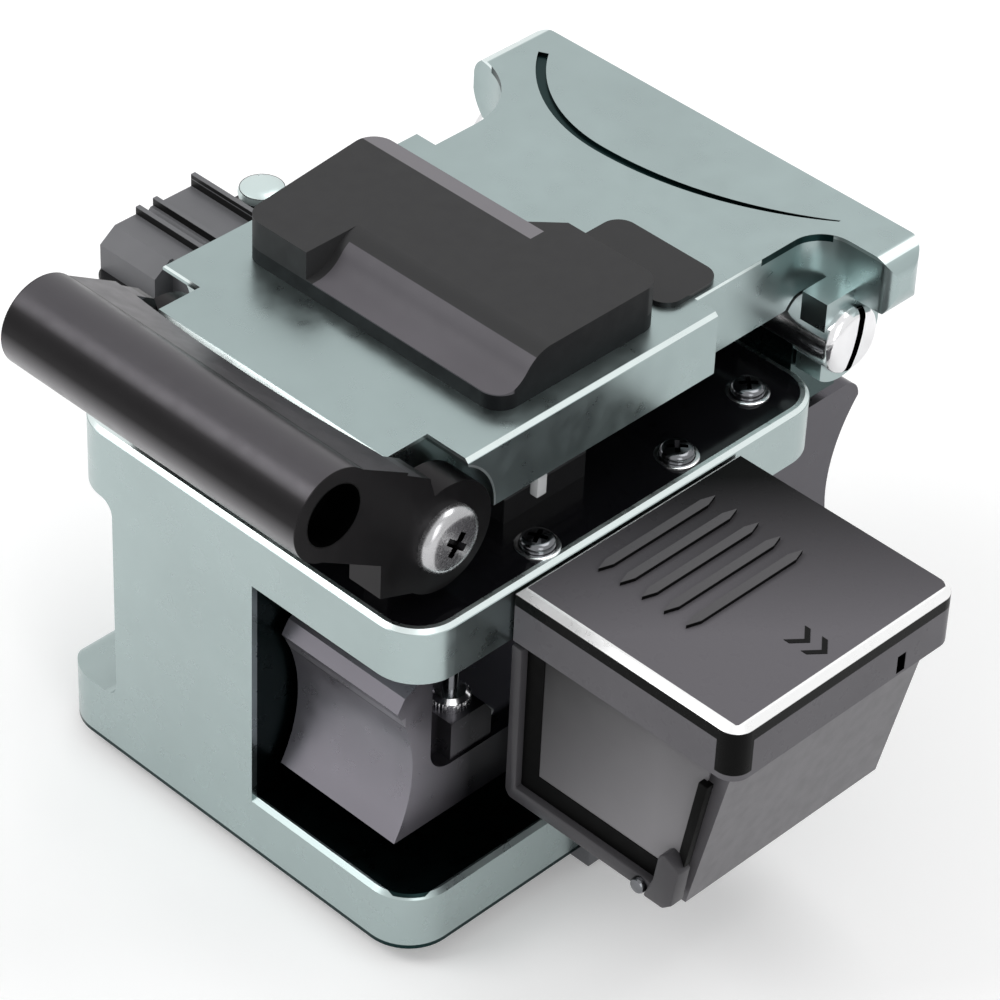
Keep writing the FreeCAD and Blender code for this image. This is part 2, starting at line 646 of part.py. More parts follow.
def groove_plan():
    """Crescent across the lid's rear that thins from its left tip to its right one."""
    tip_y = LID_REAR - S.groove_tip
    left, right = (MIDDLE - S.groove_left, tip_y), (MIDDLE + S.groove_right, tip_y)
    low = (MIDDLE - S.groove_low, tip_y - S.groove_sweep)
    width = S.groove_width
    inner_left = (left[0] + width, tip_y + width / 2)
    inner_low = (low[0], low[1] + width)
    inner_right = (right[0], tip_y + width / 4)
    return [left, (ARC, bowl_radius(left, low), 1), low, (ARC, bowl_radius(right, low), 1), right,
            inner_right, (ARC, bowl_radius(inner_right, inner_low), -1), inner_low,
            (ARC, bowl_radius(inner_left, inner_low), -1), inner_left]


def lid_saddle():
    """Rear part of the lid: the waist, the two wings and the hinge ears."""
    part = body("lid_saddle")
    pad(part, "saddle", "XY", SADDLE_BOTTOM, LID_TOP - SADDLE_BOTTOM, saddle_plan())
    roll_start = S.wing_half - S.wing_roll + 0.1
    for name, side in (("right_roll", 1), ("left_roll", -1)):
        start, tip = MIDDLE + side * roll_start, MIDDLE + side * S.wing_half
        under = [(start, SADDLE_BOTTOM), (ARC, S.wing_roll, side),
                 (tip, SADDLE_BOTTOM + S.wing_rise), (tip + side, SADDLE_BOTTOM + S.wing_rise),
                 (tip + side, SADDLE_BOTTOM - 1), (start, SADDLE_BOTTOM - 1)]
        pocket(part, name, "XZ", STRIP_END + S.gap, S.saddle_length, under)
        crown_x, crown_z = tip - side * S.wing_crown, LID_TOP - S.wing_crown
        over = [(tip, crown_z), (ARC, S.wing_crown, side), (crown_x, LID_TOP), (crown_x, LID_TOP + 1),
                (tip + side, LID_TOP + 1), (tip + side, crown_z)]
        pocket(part, name.replace("roll", "crown"), "XZ", STRIP_END + S.gap, S.saddle_length, over)
    ear_front = HINGE_Y - S.ear_front
    drop = root(S.ear_round * S.ear_round - S.ear_front * S.ear_front)
    ear_top = SADDLE_BOTTOM + S.ear_front
    ear = [(ear_front, HINGE_Z - drop), (ARC, S.ear_round, 1), (HINGE_Y + S.ear_round, HINGE_Z),
           (HINGE_Y + S.ear_round, ear_top), (ear_front, ear_top)]
    pad(part, "right_ear", "YZ", MIDDLE + EAR_INNER, S.ear_thick, ear)
    pad(part, "left_ear", "YZ", MIDDLE - EAR_OUTER, S.ear_thick, ear)
    clear = S.hinge_reach + S.hollow_clear
    reach = root(clear * clear - S.rear_under * S.rear_under)
    hollow = [(HINGE_Y - clear, SADDLE_BOTTOM - 3), (HINGE_Y - clear, HINGE_Z), (ARC, clear, -1),
              (HINGE_Y + reach, HINGE_Z + S.rear_under), (LID_REAR + 1, HINGE_Z + S.rear_under),
              (LID_REAR + 1, SADDLE_BOTTOM - 3)]
    pocket(part, "hinge_hollow", "YZ", MIDDLE - EAR_INNER, 2 * EAR_INNER, hollow)
    head_clear = [(HINGE_Y, HINGE_Z, S.hinge_head_radius + S.head_room)]
    pocket(part, "right_head_seat", "YZ", MIDDLE + EAR_OUTER, S.wing_half, circles=head_clear)
    pocket(part, "left_head_seat", "YZ", MIDDLE - EAR_OUTER - S.wing_half, S.wing_half,
           circles=head_clear)
    pocket(part, "hinge_bores", "YZ", MIDDLE - EAR_OUTER - 1, 2 * EAR_OUTER + 2,
           circles=[(HINGE_Y, HINGE_Z, S.hinge_pin_radius + S.fit)])
    pocket(part, "arc_groove", "XY", LID_TOP - S.groove_depth, S.groove_depth, groove_plan())


def lid_cap():
    part = body("lid_cap")
    tall = CAP_REAR + S.cap_step
    step_x = MIDDLE + S.cap_step_at
    outline = [(CAP_LEFT, CAP_FRONT), (CAP_RIGHT, CAP_FRONT), (CAP_RIGHT, tall), (step_x, tall),
               (step_x - S.cap_step, CAP_REAR), (CAP_LEFT_REAR, CAP_REAR)]
    pad(part, "cap", "XY", LID_TOP, S.cap_height, outline)
    cap_top = LID_TOP + S.cap_height
    low = LID_TOP + S.scoop_floor
    middle_z = (low + cap_top) / 2
    rise = (cap_top - low) / 2
    run = root(S.scoop_radius * S.scoop_radius - (S.scoop_radius - rise) * (S.scoop_radius - rise))
    start = CAP_FRONT + S.scoop_lip
    scoop = [(CAP_FRONT - 1, low), (start, low), (ARC, S.scoop_radius, 1), (start + run, middle_z),
             (ARC, S.scoop_radius, -1), (start + 2 * run, cap_top), (start + 2 * run, cap_top + 1),
             (CAP_FRONT - 1, cap_top + 1)]
    horn = CAP_LEFT + S.horn_width
    pocket(part, "scoop", "YZ", horn, CAP_RIGHT - horn + 1, scoop)
    fillet(part, "cap_corners", S.cap_round, axis="Z", x=(CAP_LEFT, CAP_LEFT_REAR, CAP_RIGHT),
           y=(CAP_FRONT, CAP_REAR, tall))


def label_plate():
    part = body("label_plate")
    right, front = MIDDLE + S.label_right_half, CAP_REAR + S.cap_step + S.label_gap
    pad(part, "label", "XY", LID_TOP, S.label_thick,
        round_rectangle(right - S.label_length, front, right, front + S.label_width,
                        S.label_round))


# ---------------------------------------------------------------- fibre clamps and anvil


def clamp_centres():
    return (SLOT_LEFT - S.clamp_width / 2, SLOT_RIGHT + S.clamp_width / 2)


def clamp_blocks(name, z0, z1):
    """A pair of blocks, one on each side of the blade's path."""
    group(name, [box(f"{name}_{i}", (x - S.clamp_width / 2, S.fibre_y - S.clamp_depth / 2, z0),
                     (S.clamp_width, S.clamp_depth, z1 - z0)) for i, x in enumerate(clamp_centres())])


def clamps():
    half_gap = S.gap / 2
    clamp_blocks("lower_clamp_blocks", DECK_TOP, FIBRE_Z - half_gap - S.clamp_pad)
    clamp_blocks("lower_clamp_pads", FIBRE_Z - half_gap - S.clamp_pad, FIBRE_Z - half_gap)
    clamp_blocks("upper_clamp_pads", FIBRE_Z + half_gap, FIBRE_Z + half_gap + S.clamp_pad)
    left, right = clamp_centres()
    margin = S.clamp_width / 2 + S.clamp_margin
    z0 = FIBRE_Z + half_gap + S.clamp_pad
    holder = box("clamp_bar", (left - margin, S.fibre_y - S.clamp_depth / 2 - S.clamp_margin, z0),
                 (right - left + 2 * margin, S.clamp_depth + 2 * S.clamp_margin, LID_BOTTOM - z0))
    slide = S.anvil_width / 2 + S.gap
    anvil_front = S.fibre_y - S.anvil_depth / 2
    hole = box("anvil_hole", (BLADE_X - slide, anvil_front - S.gap, z0 - 1),
               (2 * slide, S.anvil_depth + 2 * S.gap, LID_BOTTOM - z0 + 2))
    node(cut("upper_clamp_holder", holder, [hole]), "upper_clamp_holder")
    bottom = FIBRE_Z + S.anvil_travel + S.gap
    node(box("anvil", (BLADE_X - S.anvil_width / 2, anvil_front, bottom),
             (S.anvil_width, S.anvil_depth, LID_BOTTOM - S.gap - bottom)), "anvil")


# ---------------------------------------------------------------- release lever


def lever_lug(name, start):
    """One of the two lugs on the deck that carry the lever's pivot screws."""
    part = body(name)
    front, rear = PIVOT_Y - S.lug_round, PIVOT_Y + S.lug_round
    profile = [(front, DECK_TOP), (rear + S.lug_toe, DECK_TOP), (rear, DECK_TOP + S.lug_toe_height),
               (rear, PIVOT_Z),
               (ARC, S.lug_round, 1), (PIVOT_Y, PIVOT_Z + S.lug_round), (ARC, S.lug_round, 1),
               (front, PIVOT_Z)]
    pad(part, "lug", "YZ", start, S.lug_thick, profile)
    pocket(part, "pin_bore", "YZ", start, S.lug_thick,
           circles=[(PIVOT_Y, PIVOT_Z, S.pivot_pin_radius + S.fit)])


def lever_lugs():
    lever_lug("lever_lug_left", ARM_LEFT + S.gap)
    lever_lug("lever_lug_right", ARM_RIGHT - S.gap - S.lug_thick)


def lever_screws():
    reach = S.gap + S.lug_thick - S.pin_short
    screws = []
    for name, side, seat, arm in (("lever_screw_left", -1, LEVER_LEFT, S.left_arm),
                                  ("lever_screw_right", 1, LEVER_RIGHT, S.right_arm)):
        screws.append(dome_screw(name, "X", (seat + side * S.fit, PIVOT_Y, PIVOT_Z), side,
                                 S.pivot_head_radius, S.pivot_head_height, S.pivot_pin_radius,
                                 arm + reach))
    group("lever_screws", screws)


def release_lever():
    part = body("release_lever")
    bar_y, bar_z, bar_r = BAR_Y, BAR_Z, S.lever_bar_radius
    left, width = LEVER_LEFT, LEVER_RIGHT - LEVER_LEFT
    pad(part, "bar", "YZ", left, width, circles=[(bar_y, bar_z, bar_r)])
    slope = root(S.arm_run * S.arm_run + S.arm_drop * S.arm_drop)
    along_y, along_z = S.arm_run / slope, -S.arm_drop / slope
    up_y, up_z = -along_z, along_y
    near_r = bar_r - S.bar_sink
    top = (bar_y + up_y * near_r, bar_z + up_z * near_r)
    heel_y = PIVOT_Y - S.heel_back
    arm = [top, (bar_y - up_y * near_r, bar_z - up_z * near_r), (heel_y, PIVOT_Z + S.heel_top),
           (heel_y, PIVOT_Z - S.heel_bottom), (PIVOT_Y, PIVOT_Z - S.boss_radius),
           (PIVOT_Y, PIVOT_Z + S.boss_radius / 2),
           (PIVOT_Y - S.shoulder_back / 2, PIVOT_Z + S.shoulder_up / 2),
           (PIVOT_Y - S.shoulder_back, PIVOT_Z + S.shoulder_up)]
    boss = [(PIVOT_Y, PIVOT_Z, S.boss_radius)]
    for side, start, thick in (("left", left, S.left_arm), ("right", ARM_RIGHT, S.right_arm)):
        pad(part, side + "_arm", "YZ", start, thick, arm)
        pad(part, side + "_boss", "YZ", start, thick, circles=boss)
    web = [top, (top[0] - up_y * S.web_thick, top[1] - up_z * S.web_thick),
           (top[0] - up_y * S.web_thick + along_y * S.web_reach,
            top[1] - up_z * S.web_thick + along_z * S.web_reach),
           (top[0] + along_y * S.web_reach, top[1] + along_z * S.web_reach)]
    pad(part, "web", "YZ", left, width, web)
    edge_y, inner = web[3][0], (ARM_LEFT, ARM_RIGHT)
    half = (inner[1] - inner[0]) / 2
    sweep = (half * half + S.web_hollow * S.web_hollow) / (2 * S.web_hollow)
    hollow = [(inner[0], edge_y), (ARC, sweep, 1), ((inner[0] + inner[1]) / 2, edge_y - S.web_hollow),
              (ARC, sweep, 1), (inner[1], edge_y), (inner[1], edge_y + 1), (inner[0], edge_y + 1)]
    pocket(part, "web_edge", "XY", web[1][1] - S.web_reach, 2 * S.web_reach + S.web_thick, hollow)
    bore = [(bar_y, bar_z, S.lever_bore_radius)]
    pocket(part, "left_bore", "YZ", left, S.lever_bore_depth, circles=bore)
    pocket(part, "right_bore", "YZ", LEVER_RIGHT - S.lever_bore_depth, S.lever_bore_depth,
           circles=bore)
    pocket(part, "pin_bores", "YZ", left, width,
           circles=[(PIVOT_Y, PIVOT_Z, S.pivot_pin_radius + S.fit)])


# ---------------------------------------------------------------- rail, carriage and blade


def linear_rail():
    part = body("linear_rail")
    half = S.rail_width / 2
    waist = half - 0.5
    low, high = BASE_TOP + S.rail_height * 0.4, BASE_TOP + S.rail_height * 0.7
    profile = [(CARRIAGE_MIDDLE - half, BASE_TOP), (CARRIAGE_MIDDLE + half, BASE_TOP),
               (CARRIAGE_MIDDLE + half, low), (CARRIAGE_MIDDLE + waist, (low + high) / 2),
               (CARRIAGE_MIDDLE + half, high), (CARRIAGE_MIDDLE + half, BASE_TOP + S.rail_height),
               (CARRIAGE_MIDDLE - half, BASE_TOP + S.rail_height), (CARRIAGE_MIDDLE - half, high),
               (CARRIAGE_MIDDLE - waist, (low + high) / 2), (CARRIAGE_MIDDLE - half, low)]
    pad(part, "rail", "XZ", RAIL_FRONT, REAR - 1 - RAIL_FRONT, profile)
    head = S.rail_height * 0.5
    pocket(part, "head_recesses", "XY", BASE_TOP + S.rail_height - head, head,
           circles=[(x, y, S.rail_head_radius + S.fit) for x, y in rail_screw_places()])


def rail_screws():
    """Heads only, sunk in the rail."""
    head = S.rail_height * 0.5
    group("rail_screws", [
        cylinder(f"rail_screw_{i}", "Z", (x, y, BASE_TOP + S.rail_height - head),
                 S.rail_head_radius, head - 2 * S.fit)
        for i, (x, y) in enumerate(rail_screw_places())])


def bearing_block():
    part = body("bearing_block")
    half, inner = S.block_width / 2, S.rail_width / 2 + 2 * S.fit
    bottom, top = BASE_TOP + S.block_lift, BASE_TOP + S.block_height
    roof = BASE_TOP + S.rail_height + 2 * S.fit
    profile = [(CARRIAGE_MIDDLE - half, bottom), (CARRIAGE_MIDDLE - inner, bottom),
               (CARRIAGE_MIDDLE - inner, roof), (CARRIAGE_MIDDLE + inner, roof),
               (CARRIAGE_MIDDLE + inner, bottom), (CARRIAGE_MIDDLE + half, bottom),
               (CARRIAGE_MIDDLE + half, top), (CARRIAGE_MIDDLE - half, top)]
    pad(part, "block", "XZ", BLOCK_FRONT, S.block_length, profile)


def carriage():
    part = body("carriage")
    front, rear = CARRIAGE_FRONT, CARRIAGE_REAR
    pad_top = CARRIAGE_BOTTOM + S.grip_height
    profile = [(front, CARRIAGE_BOTTOM), (rear, CARRIAGE_BOTTOM), (ARC, S.grip_hollow, -1),
               (rear, CARRIAGE_TOP - 2.5), (ARC, 2.5, 1), (rear - 2.5, CARRIAGE_TOP),
               (front + 9.0, CARRIAGE_TOP), (front + 6.0, pad_top + 2.2), (front + 1.0, pad_top),
               (front, pad_top - 1.6), (ARC, S.grip_hollow, -1)]
    pad(part, "housing", "YZ", CARRIAGE_LEFT, S.carriage_width, profile)
    lane = S.block_width / 2 + S.gap
    pocket(part, "rail_lane", "XZ", LANE_FRONT, rear - LANE_FRONT + 1,
           rectangle(CARRIAGE_MIDDLE - lane, CARRIAGE_BOTTOM - 1, CARRIAGE_MIDDLE + lane,
                     BASE_TOP + S.block_height))
    side = round_rectangle(POCKET_FRONT, POCKET_BOTTOM, POCKET_REAR,
                           CARRIAGE_TOP + 2 * S.pocket_round, S.pocket_round)
    pocket(part, "blade_pocket", "YZ", CARRIAGE_RIGHT - S.pocket_depth, S.pocket_depth, side)


def blade_holder():
    part = body("blade_holder")
    top = BLADE_Z + S.holder_crown
    inset = S.pocket_round + S.gap
    front, rear = POCKET_FRONT + inset, POCKET_REAR - inset
    plate = [(front, POCKET_BOTTOM), (rear, POCKET_BOTTOM), (rear, POCKET_BOTTOM + 5),
             (BLADE_Y + S.blade_radius, DECK_BOTTOM - 3), (BLADE_Y + 4, top), (BLADE_Y - 4, top),
             (BLADE_Y - S.blade_radius, DECK_BOTTOM - 3), (front, POCKET_BOTTOM + 8)]
    pad(part, "plate", "YZ", HOLDER_X, S.holder_thick, plate)
    foot_x = HOLDER_X + S.holder_thick
    foot = [(front, POCKET_BOTTOM), (front + 6, POCKET_BOTTOM), (front + 6, POCKET_BOTTOM + 3.5),
            (front + 5, POCKET_BOTTOM + 5), (front, POCKET_BOTTOM + 5)]
    pad(part, "foot", "YZ", foot_x, CARRIAGE_RIGHT - S.gap - foot_x, foot)
    pocket(part, "axle_bore", "YZ", HOLDER_X, S.holder_thick,
           circles=[(BLADE_Y, BLADE_Z, S.axle_radius + S.fit)])


def blade_parts():
    shank = cylinder("axle_shank", "X", (HOLDER_X, BLADE_Y, BLADE_Z), S.axle_radius,
                     AXLE_END - HOLDER_X)
    flange = cylinder("axle_flange", "X", (AXLE_END, BLADE_Y, BLADE_Z), S.axle_radius * 1.7,
                      S.axle_head)
    node(join("blade_axle", [shank, flange]), "blade_axle")
    disc_x = BLADE_X - S.blade_thick / 2
    disc = cylinder("disc", "X", (disc_x, BLADE_Y, BLADE_Z), S.blade_radius, S.blade_thick)
    bore = cylinder("disc_bore", "X", (disc_x - 1, BLADE_Y, BLADE_Z), S.axle_radius + S.fit,
                    S.blade_thick + 2)
    node(cut("blade_wheel", disc, [bore]), "blade_wheel")
    screw_x, screw_y = CARRIAGE_RIGHT - 3.2, POCKET_FRONT + S.pocket_round + S.gap + 2.6
    seat = POCKET_BOTTOM + 5
    stem = cylinder("adjust_stem", "Z", (screw_x, screw_y, seat), 1.2, 2.6)
    knob = cylinder("adjust_head", "Z", (screw_x, screw_y, seat + 2.6), 2.3, 3.6)
    node(join("height_screw", [stem, knob]), "height_screw")


# ---------------------------------------------------------------- fibre holder


def fibre_holder():
    shelf = body("holder_shelf")
    rear = SHELF_FRONT + S.shelf_depth
    r = S.shelf_round
    outline = [(LEFT, SHELF_FRONT), (LEFT, rear), (SHELF_LEFT + r, rear), (ARC, r, 1),
               (SHELF_LEFT, rear - r), (SHELF_LEFT, SHELF_FRONT + r), (ARC, r, 1),
               (SHELF_LEFT + r, SHELF_FRONT)]
    pad(shelf, "shelf", "XY", DECK_TOP - S.shelf_thick, S.shelf_thick, outline)
    pad(shelf, "post", "XY", DECK_TOP, S.post_height, circles=[(POST_X, POST_Y, S.post_radius)])
    part = body("fibre_holder")
    left = SHELF_LEFT + S.gap
    right = LEFT + S.holder_overlap
    top = DECK_TOP + S.holder_height
    y0, y1 = HOLDER_FRONT, HOLDER_FRONT + S.holder_depth
    profile = [(y0, DECK_TOP), (y1, DECK_TOP), (y1, top), (y0 + 2.2, top), (y0, top - 1.6)]
    pad(part, "block", "YZ", left, right - left, profile)
    pocket(part, "front_notch", "XY", DECK_TOP, S.holder_height,
           rectangle(left + 9, y0 - 1, right + 1, y0 + 2.6))
    groove = S.fibre_y
    half = S.groove_gap / 2
    fins = ((groove - half - S.fin_thick, 1.0), (groove + half, 1.0), (y1 - S.fin_thick, 1.6))
    for i, (y, scale) in enumerate(fins):
        pad(part, f"fin_{i}", "XY", top, S.fin_height * scale,
            rectangle(left, y, right, y + S.fin_thick))
    pocket(part, "fibre_groove", "YZ", left, right - left,
           [(groove - 0.6, top), (groove, top - 0.6), (groove + 0.6, top)])


# ---------------------------------------------------------------- scrap bin


def scrap_bin():
    part = body("scrap_bin")
    low_right = BIN_RIGHT - S.bin_taper
    outer = [(RIGHT, S.bin_floor_z), (low_right, S.bin_floor_z), (BIN_RIGHT, BIN_TOP - S.bin_top_drop),
             (BIN_RIGHT, BIN_TOP - S.tilt_room), (ROCKER_PIN_X, BIN_TOP), (RIGHT, BIN_TOP)]
    depth = BIN_REAR - BIN_FRONT
    pad(part, "shell", "XZ", BIN_FRONT, depth, outer)
    wall = S.bin_wall
    inner = [(RIGHT + wall, S.bin_floor_z + wall), (low_right - wall, S.bin_floor_z + wall),
             (BIN_RIGHT - wall, BIN_TOP - S.bin_top_drop), (BIN_RIGHT - wall, BIN_TOP + 1),
             (RIGHT + wall, BIN_TOP + 1)]
    pocket(part, "cavity", "XZ", BIN_FRONT + wall, depth - 2 * wall, inner)
    margin = S.window_margin
    window = [(RIGHT + margin, S.bin_floor_z + margin), (low_right - margin, S.bin_floor_z + margin),
              (BIN_RIGHT - margin, BIN_TOP - S.bin_top_drop), (RIGHT + margin, BIN_TOP - S.bin_top_drop)]
    pocket(part, "front_window", "XZ", BIN_FRONT, wall, window)
    for name, y in (("front_stub", BIN_FRONT - S.stub_length), ("rear_stub", BIN_REAR)):
        pad(part, name, "XZ", y, S.stub_length,
            circles=[(ROCKER_PIN_X, ROCKER_PIN_Z, S.stub_radius)])


def bin_window():
    part = body("bin_window")
    low_right = BIN_RIGHT - S.bin_taper
    edge = S.window_margin - S.panel_lap
    top = BIN_TOP - S.bin_top_drop + 1
    panel = [(RIGHT + edge, S.bin_floor_z + edge), (low_right - edge, S.bin_floor_z + edge),
             (BIN_RIGHT - edge, top), (RIGHT + edge, top)]
    pad(part, "panel", "XZ", BIN_FRONT + S.bin_wall, S.panel_thick, panel)


def bin_bracket():
    part = body("bin_bracket")
    thick = S.strap_thick
    tail = RIGHT - S.strap_tail
    profile = [(tail, BASE_BOTTOM - thick), (RIGHT + thick, BASE_BOTTOM - thick),
               (RIGHT + thick, S.bin_floor_z), (RIGHT, S.bin_floor_z), (RIGHT, BASE_BOTTOM),
               (tail, BASE_BOTTOM)]
    pad(part, "strap", "XZ", STRAP_FRONT, S.strap_width, profile)


def rocker_lid():
    part = body("rocker_lid")
    clear = S.gap + 0.1
    y0, y1 = BIN_FRONT - clear - S.rocker_wall, BIN_REAR + clear + S.rocker_wall
    x0, x1 = RIGHT + S.gap, BIN_RIGHT + clear + S.rocker_wall
    top = DECK_TOP
    skirt = top - S.bin_skirt
    pad(part, "block", "XY", skirt, S.bin_skirt, rectangle(x0, y0, x1, y1))
    fillet(part, "corners", S.rocker_round, axis="Z", x=x1, y=(y0, y1))
    pocket(part, "underside", "XY", skirt, S.bin_skirt - S.rocker_thick,
           rectangle(x0 - 1, y0 + S.rocker_wall, x1 - S.rocker_wall, y1 - S.rocker_wall))
    bevel(part, "rim", S.edge_bevel * 1.4, z=top)
    depth = S.stub_length + S.fit
    for name, start in (("front_socket", BIN_FRONT - depth), ("rear_socket", BIN_REAR)):
        pocket(part, name, "XZ", start, depth,
               circles=[(ROCKER_PIN_X, ROCKER_PIN_Z, S.stub_radius + S.fit)])
    catch_y, catch_z = BIN_FRONT + S.catch_inset, skirt + S.gap
    pocket(part, "catch_slot", "YZ", x1 - S.rocker_wall, S.rocker_wall,
           rectangle(catch_y, catch_z, catch_y + S.catch_width, catch_z + S.catch_height))
    middle_y = (y0 + y1) / 2
    half, tip = S.rib_width / 2, S.rib_length / 2
    shoulder = tip - 1.5 * S.rib_width
    for i in range(5):
        x = RIGHT + S.rib_first + i * S.rib_pitch
        rib = [(x - half, middle_y - shoulder), (x, middle_y - tip), (x + half, middle_y - shoulder),
               (x + half, middle_y + shoulder), (x, middle_y + tip), (x - half, middle_y + shoulder)]
        pad(part, f"rib_{i}", "XY", top, S.rib_height, rib)


# ---------------------------------------------------------------- build and export

body_frame()
deck_frame()
deck_plate()
deck_screws()
base_pad()
hinge_block()
hinge_screws()
lid_plate()
lid_saddle()
lid_cap()
label_plate()
clamps()
lever_lugs()
lever_screws()
release_lever()
linear_rail()
rail_screws()
bearing_block()
carriage()
blade_holder()
blade_parts()
fibre_holder()
scrap_bin()
bin_window()
bin_bracket()
rocker_lid()

doc.recompute()
for thing in doc.Objects:
    if "Invalid" in thing.State or "Error" in thing.State:
        raise RuntimeError(f"{thing.Label} failed: {thing.State}")
os.makedirs("parts", exist_ok=True)
for thing in NODES:
    if thing.Shape.isNull() or not thing.Shape.isValid():
        raise RuntimeError(f"{thing.Label} has no valid shape")
    thing.Shape.exportStep(f"parts/{thing.Label}.step")
    print(f"{thing.Label:22s} solids {len(thing.Shape.Solids)}  volume {thing.Shape.Volume:10.1f}")
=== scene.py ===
"""Looks of the fibre cleaver: finishes, screw heads, marks, light and camera around its solids."""

import math

import bmesh
import bpy
from mathutils import Matrix, Vector


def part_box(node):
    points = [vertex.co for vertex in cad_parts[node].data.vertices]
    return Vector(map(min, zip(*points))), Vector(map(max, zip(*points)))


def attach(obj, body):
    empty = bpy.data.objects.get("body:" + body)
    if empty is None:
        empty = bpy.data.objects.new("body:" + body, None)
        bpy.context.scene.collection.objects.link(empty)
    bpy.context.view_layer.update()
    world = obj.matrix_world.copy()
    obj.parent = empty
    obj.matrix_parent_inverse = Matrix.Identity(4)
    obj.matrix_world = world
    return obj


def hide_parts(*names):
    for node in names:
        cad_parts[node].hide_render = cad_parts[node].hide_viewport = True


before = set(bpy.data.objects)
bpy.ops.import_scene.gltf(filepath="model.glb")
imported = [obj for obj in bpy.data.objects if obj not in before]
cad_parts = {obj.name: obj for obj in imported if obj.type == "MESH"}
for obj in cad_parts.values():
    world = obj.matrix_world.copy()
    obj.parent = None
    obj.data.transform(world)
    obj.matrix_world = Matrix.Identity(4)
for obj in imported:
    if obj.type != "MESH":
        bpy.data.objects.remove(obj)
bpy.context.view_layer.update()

MM = 0.001
SHARP_ANGLE = math.radians(35.0)
scene = bpy.context.scene
scene.view_settings.view_transform = "Standard"


# ---------------------------------------------------------------- places on the solids, in mm


def box_mm(node_name):
    """Low and high corners of a node's box."""
    return [tuple(c / MM for c in end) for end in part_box(node_name)]


def low_end(node_name, axis):
    return box_mm(node_name)[0]["XYZ".index(axis)]


def high_end(node_name, axis):
    return box_mm(node_name)[1]["XYZ".index(axis)]


DECK_TOP = high_end("deck_frame", "Z")
LID_TOP = high_end("lid_plate", "Z")
CAP_TOP = high_end("lid_cap", "Z")


# ---------------------------------------------------------------- finishes


METAL = (0.380, 0.452, 0.448)
LID_METAL = (0.350, 0.424, 0.422)
# Pale colour painted on top edges as a highlight.
EDGE_HIGHLIGHT = (0.72, 0.80, 0.79)
# Dark teal painted as shade: the foot line of the case and the lid's arc groove.
TEAL_SHADE = (0.010, 0.028, 0.028)
# Painted shade for the faces of driver recesses.
RECESS_SHADE = (0.010, 0.010, 0.011)
# Near black: the own black of ribs and fins, and the dark end of painted shade and reflection gradients.
NEAR_BLACK_AND_SHADE = (0.004, 0.004, 0.004)
# Black painted as shade: in a bore, a slot, a corner and a band under an edge.
PAINTED_SHADE_BLACK = (0.001, 0.001, 0.001)


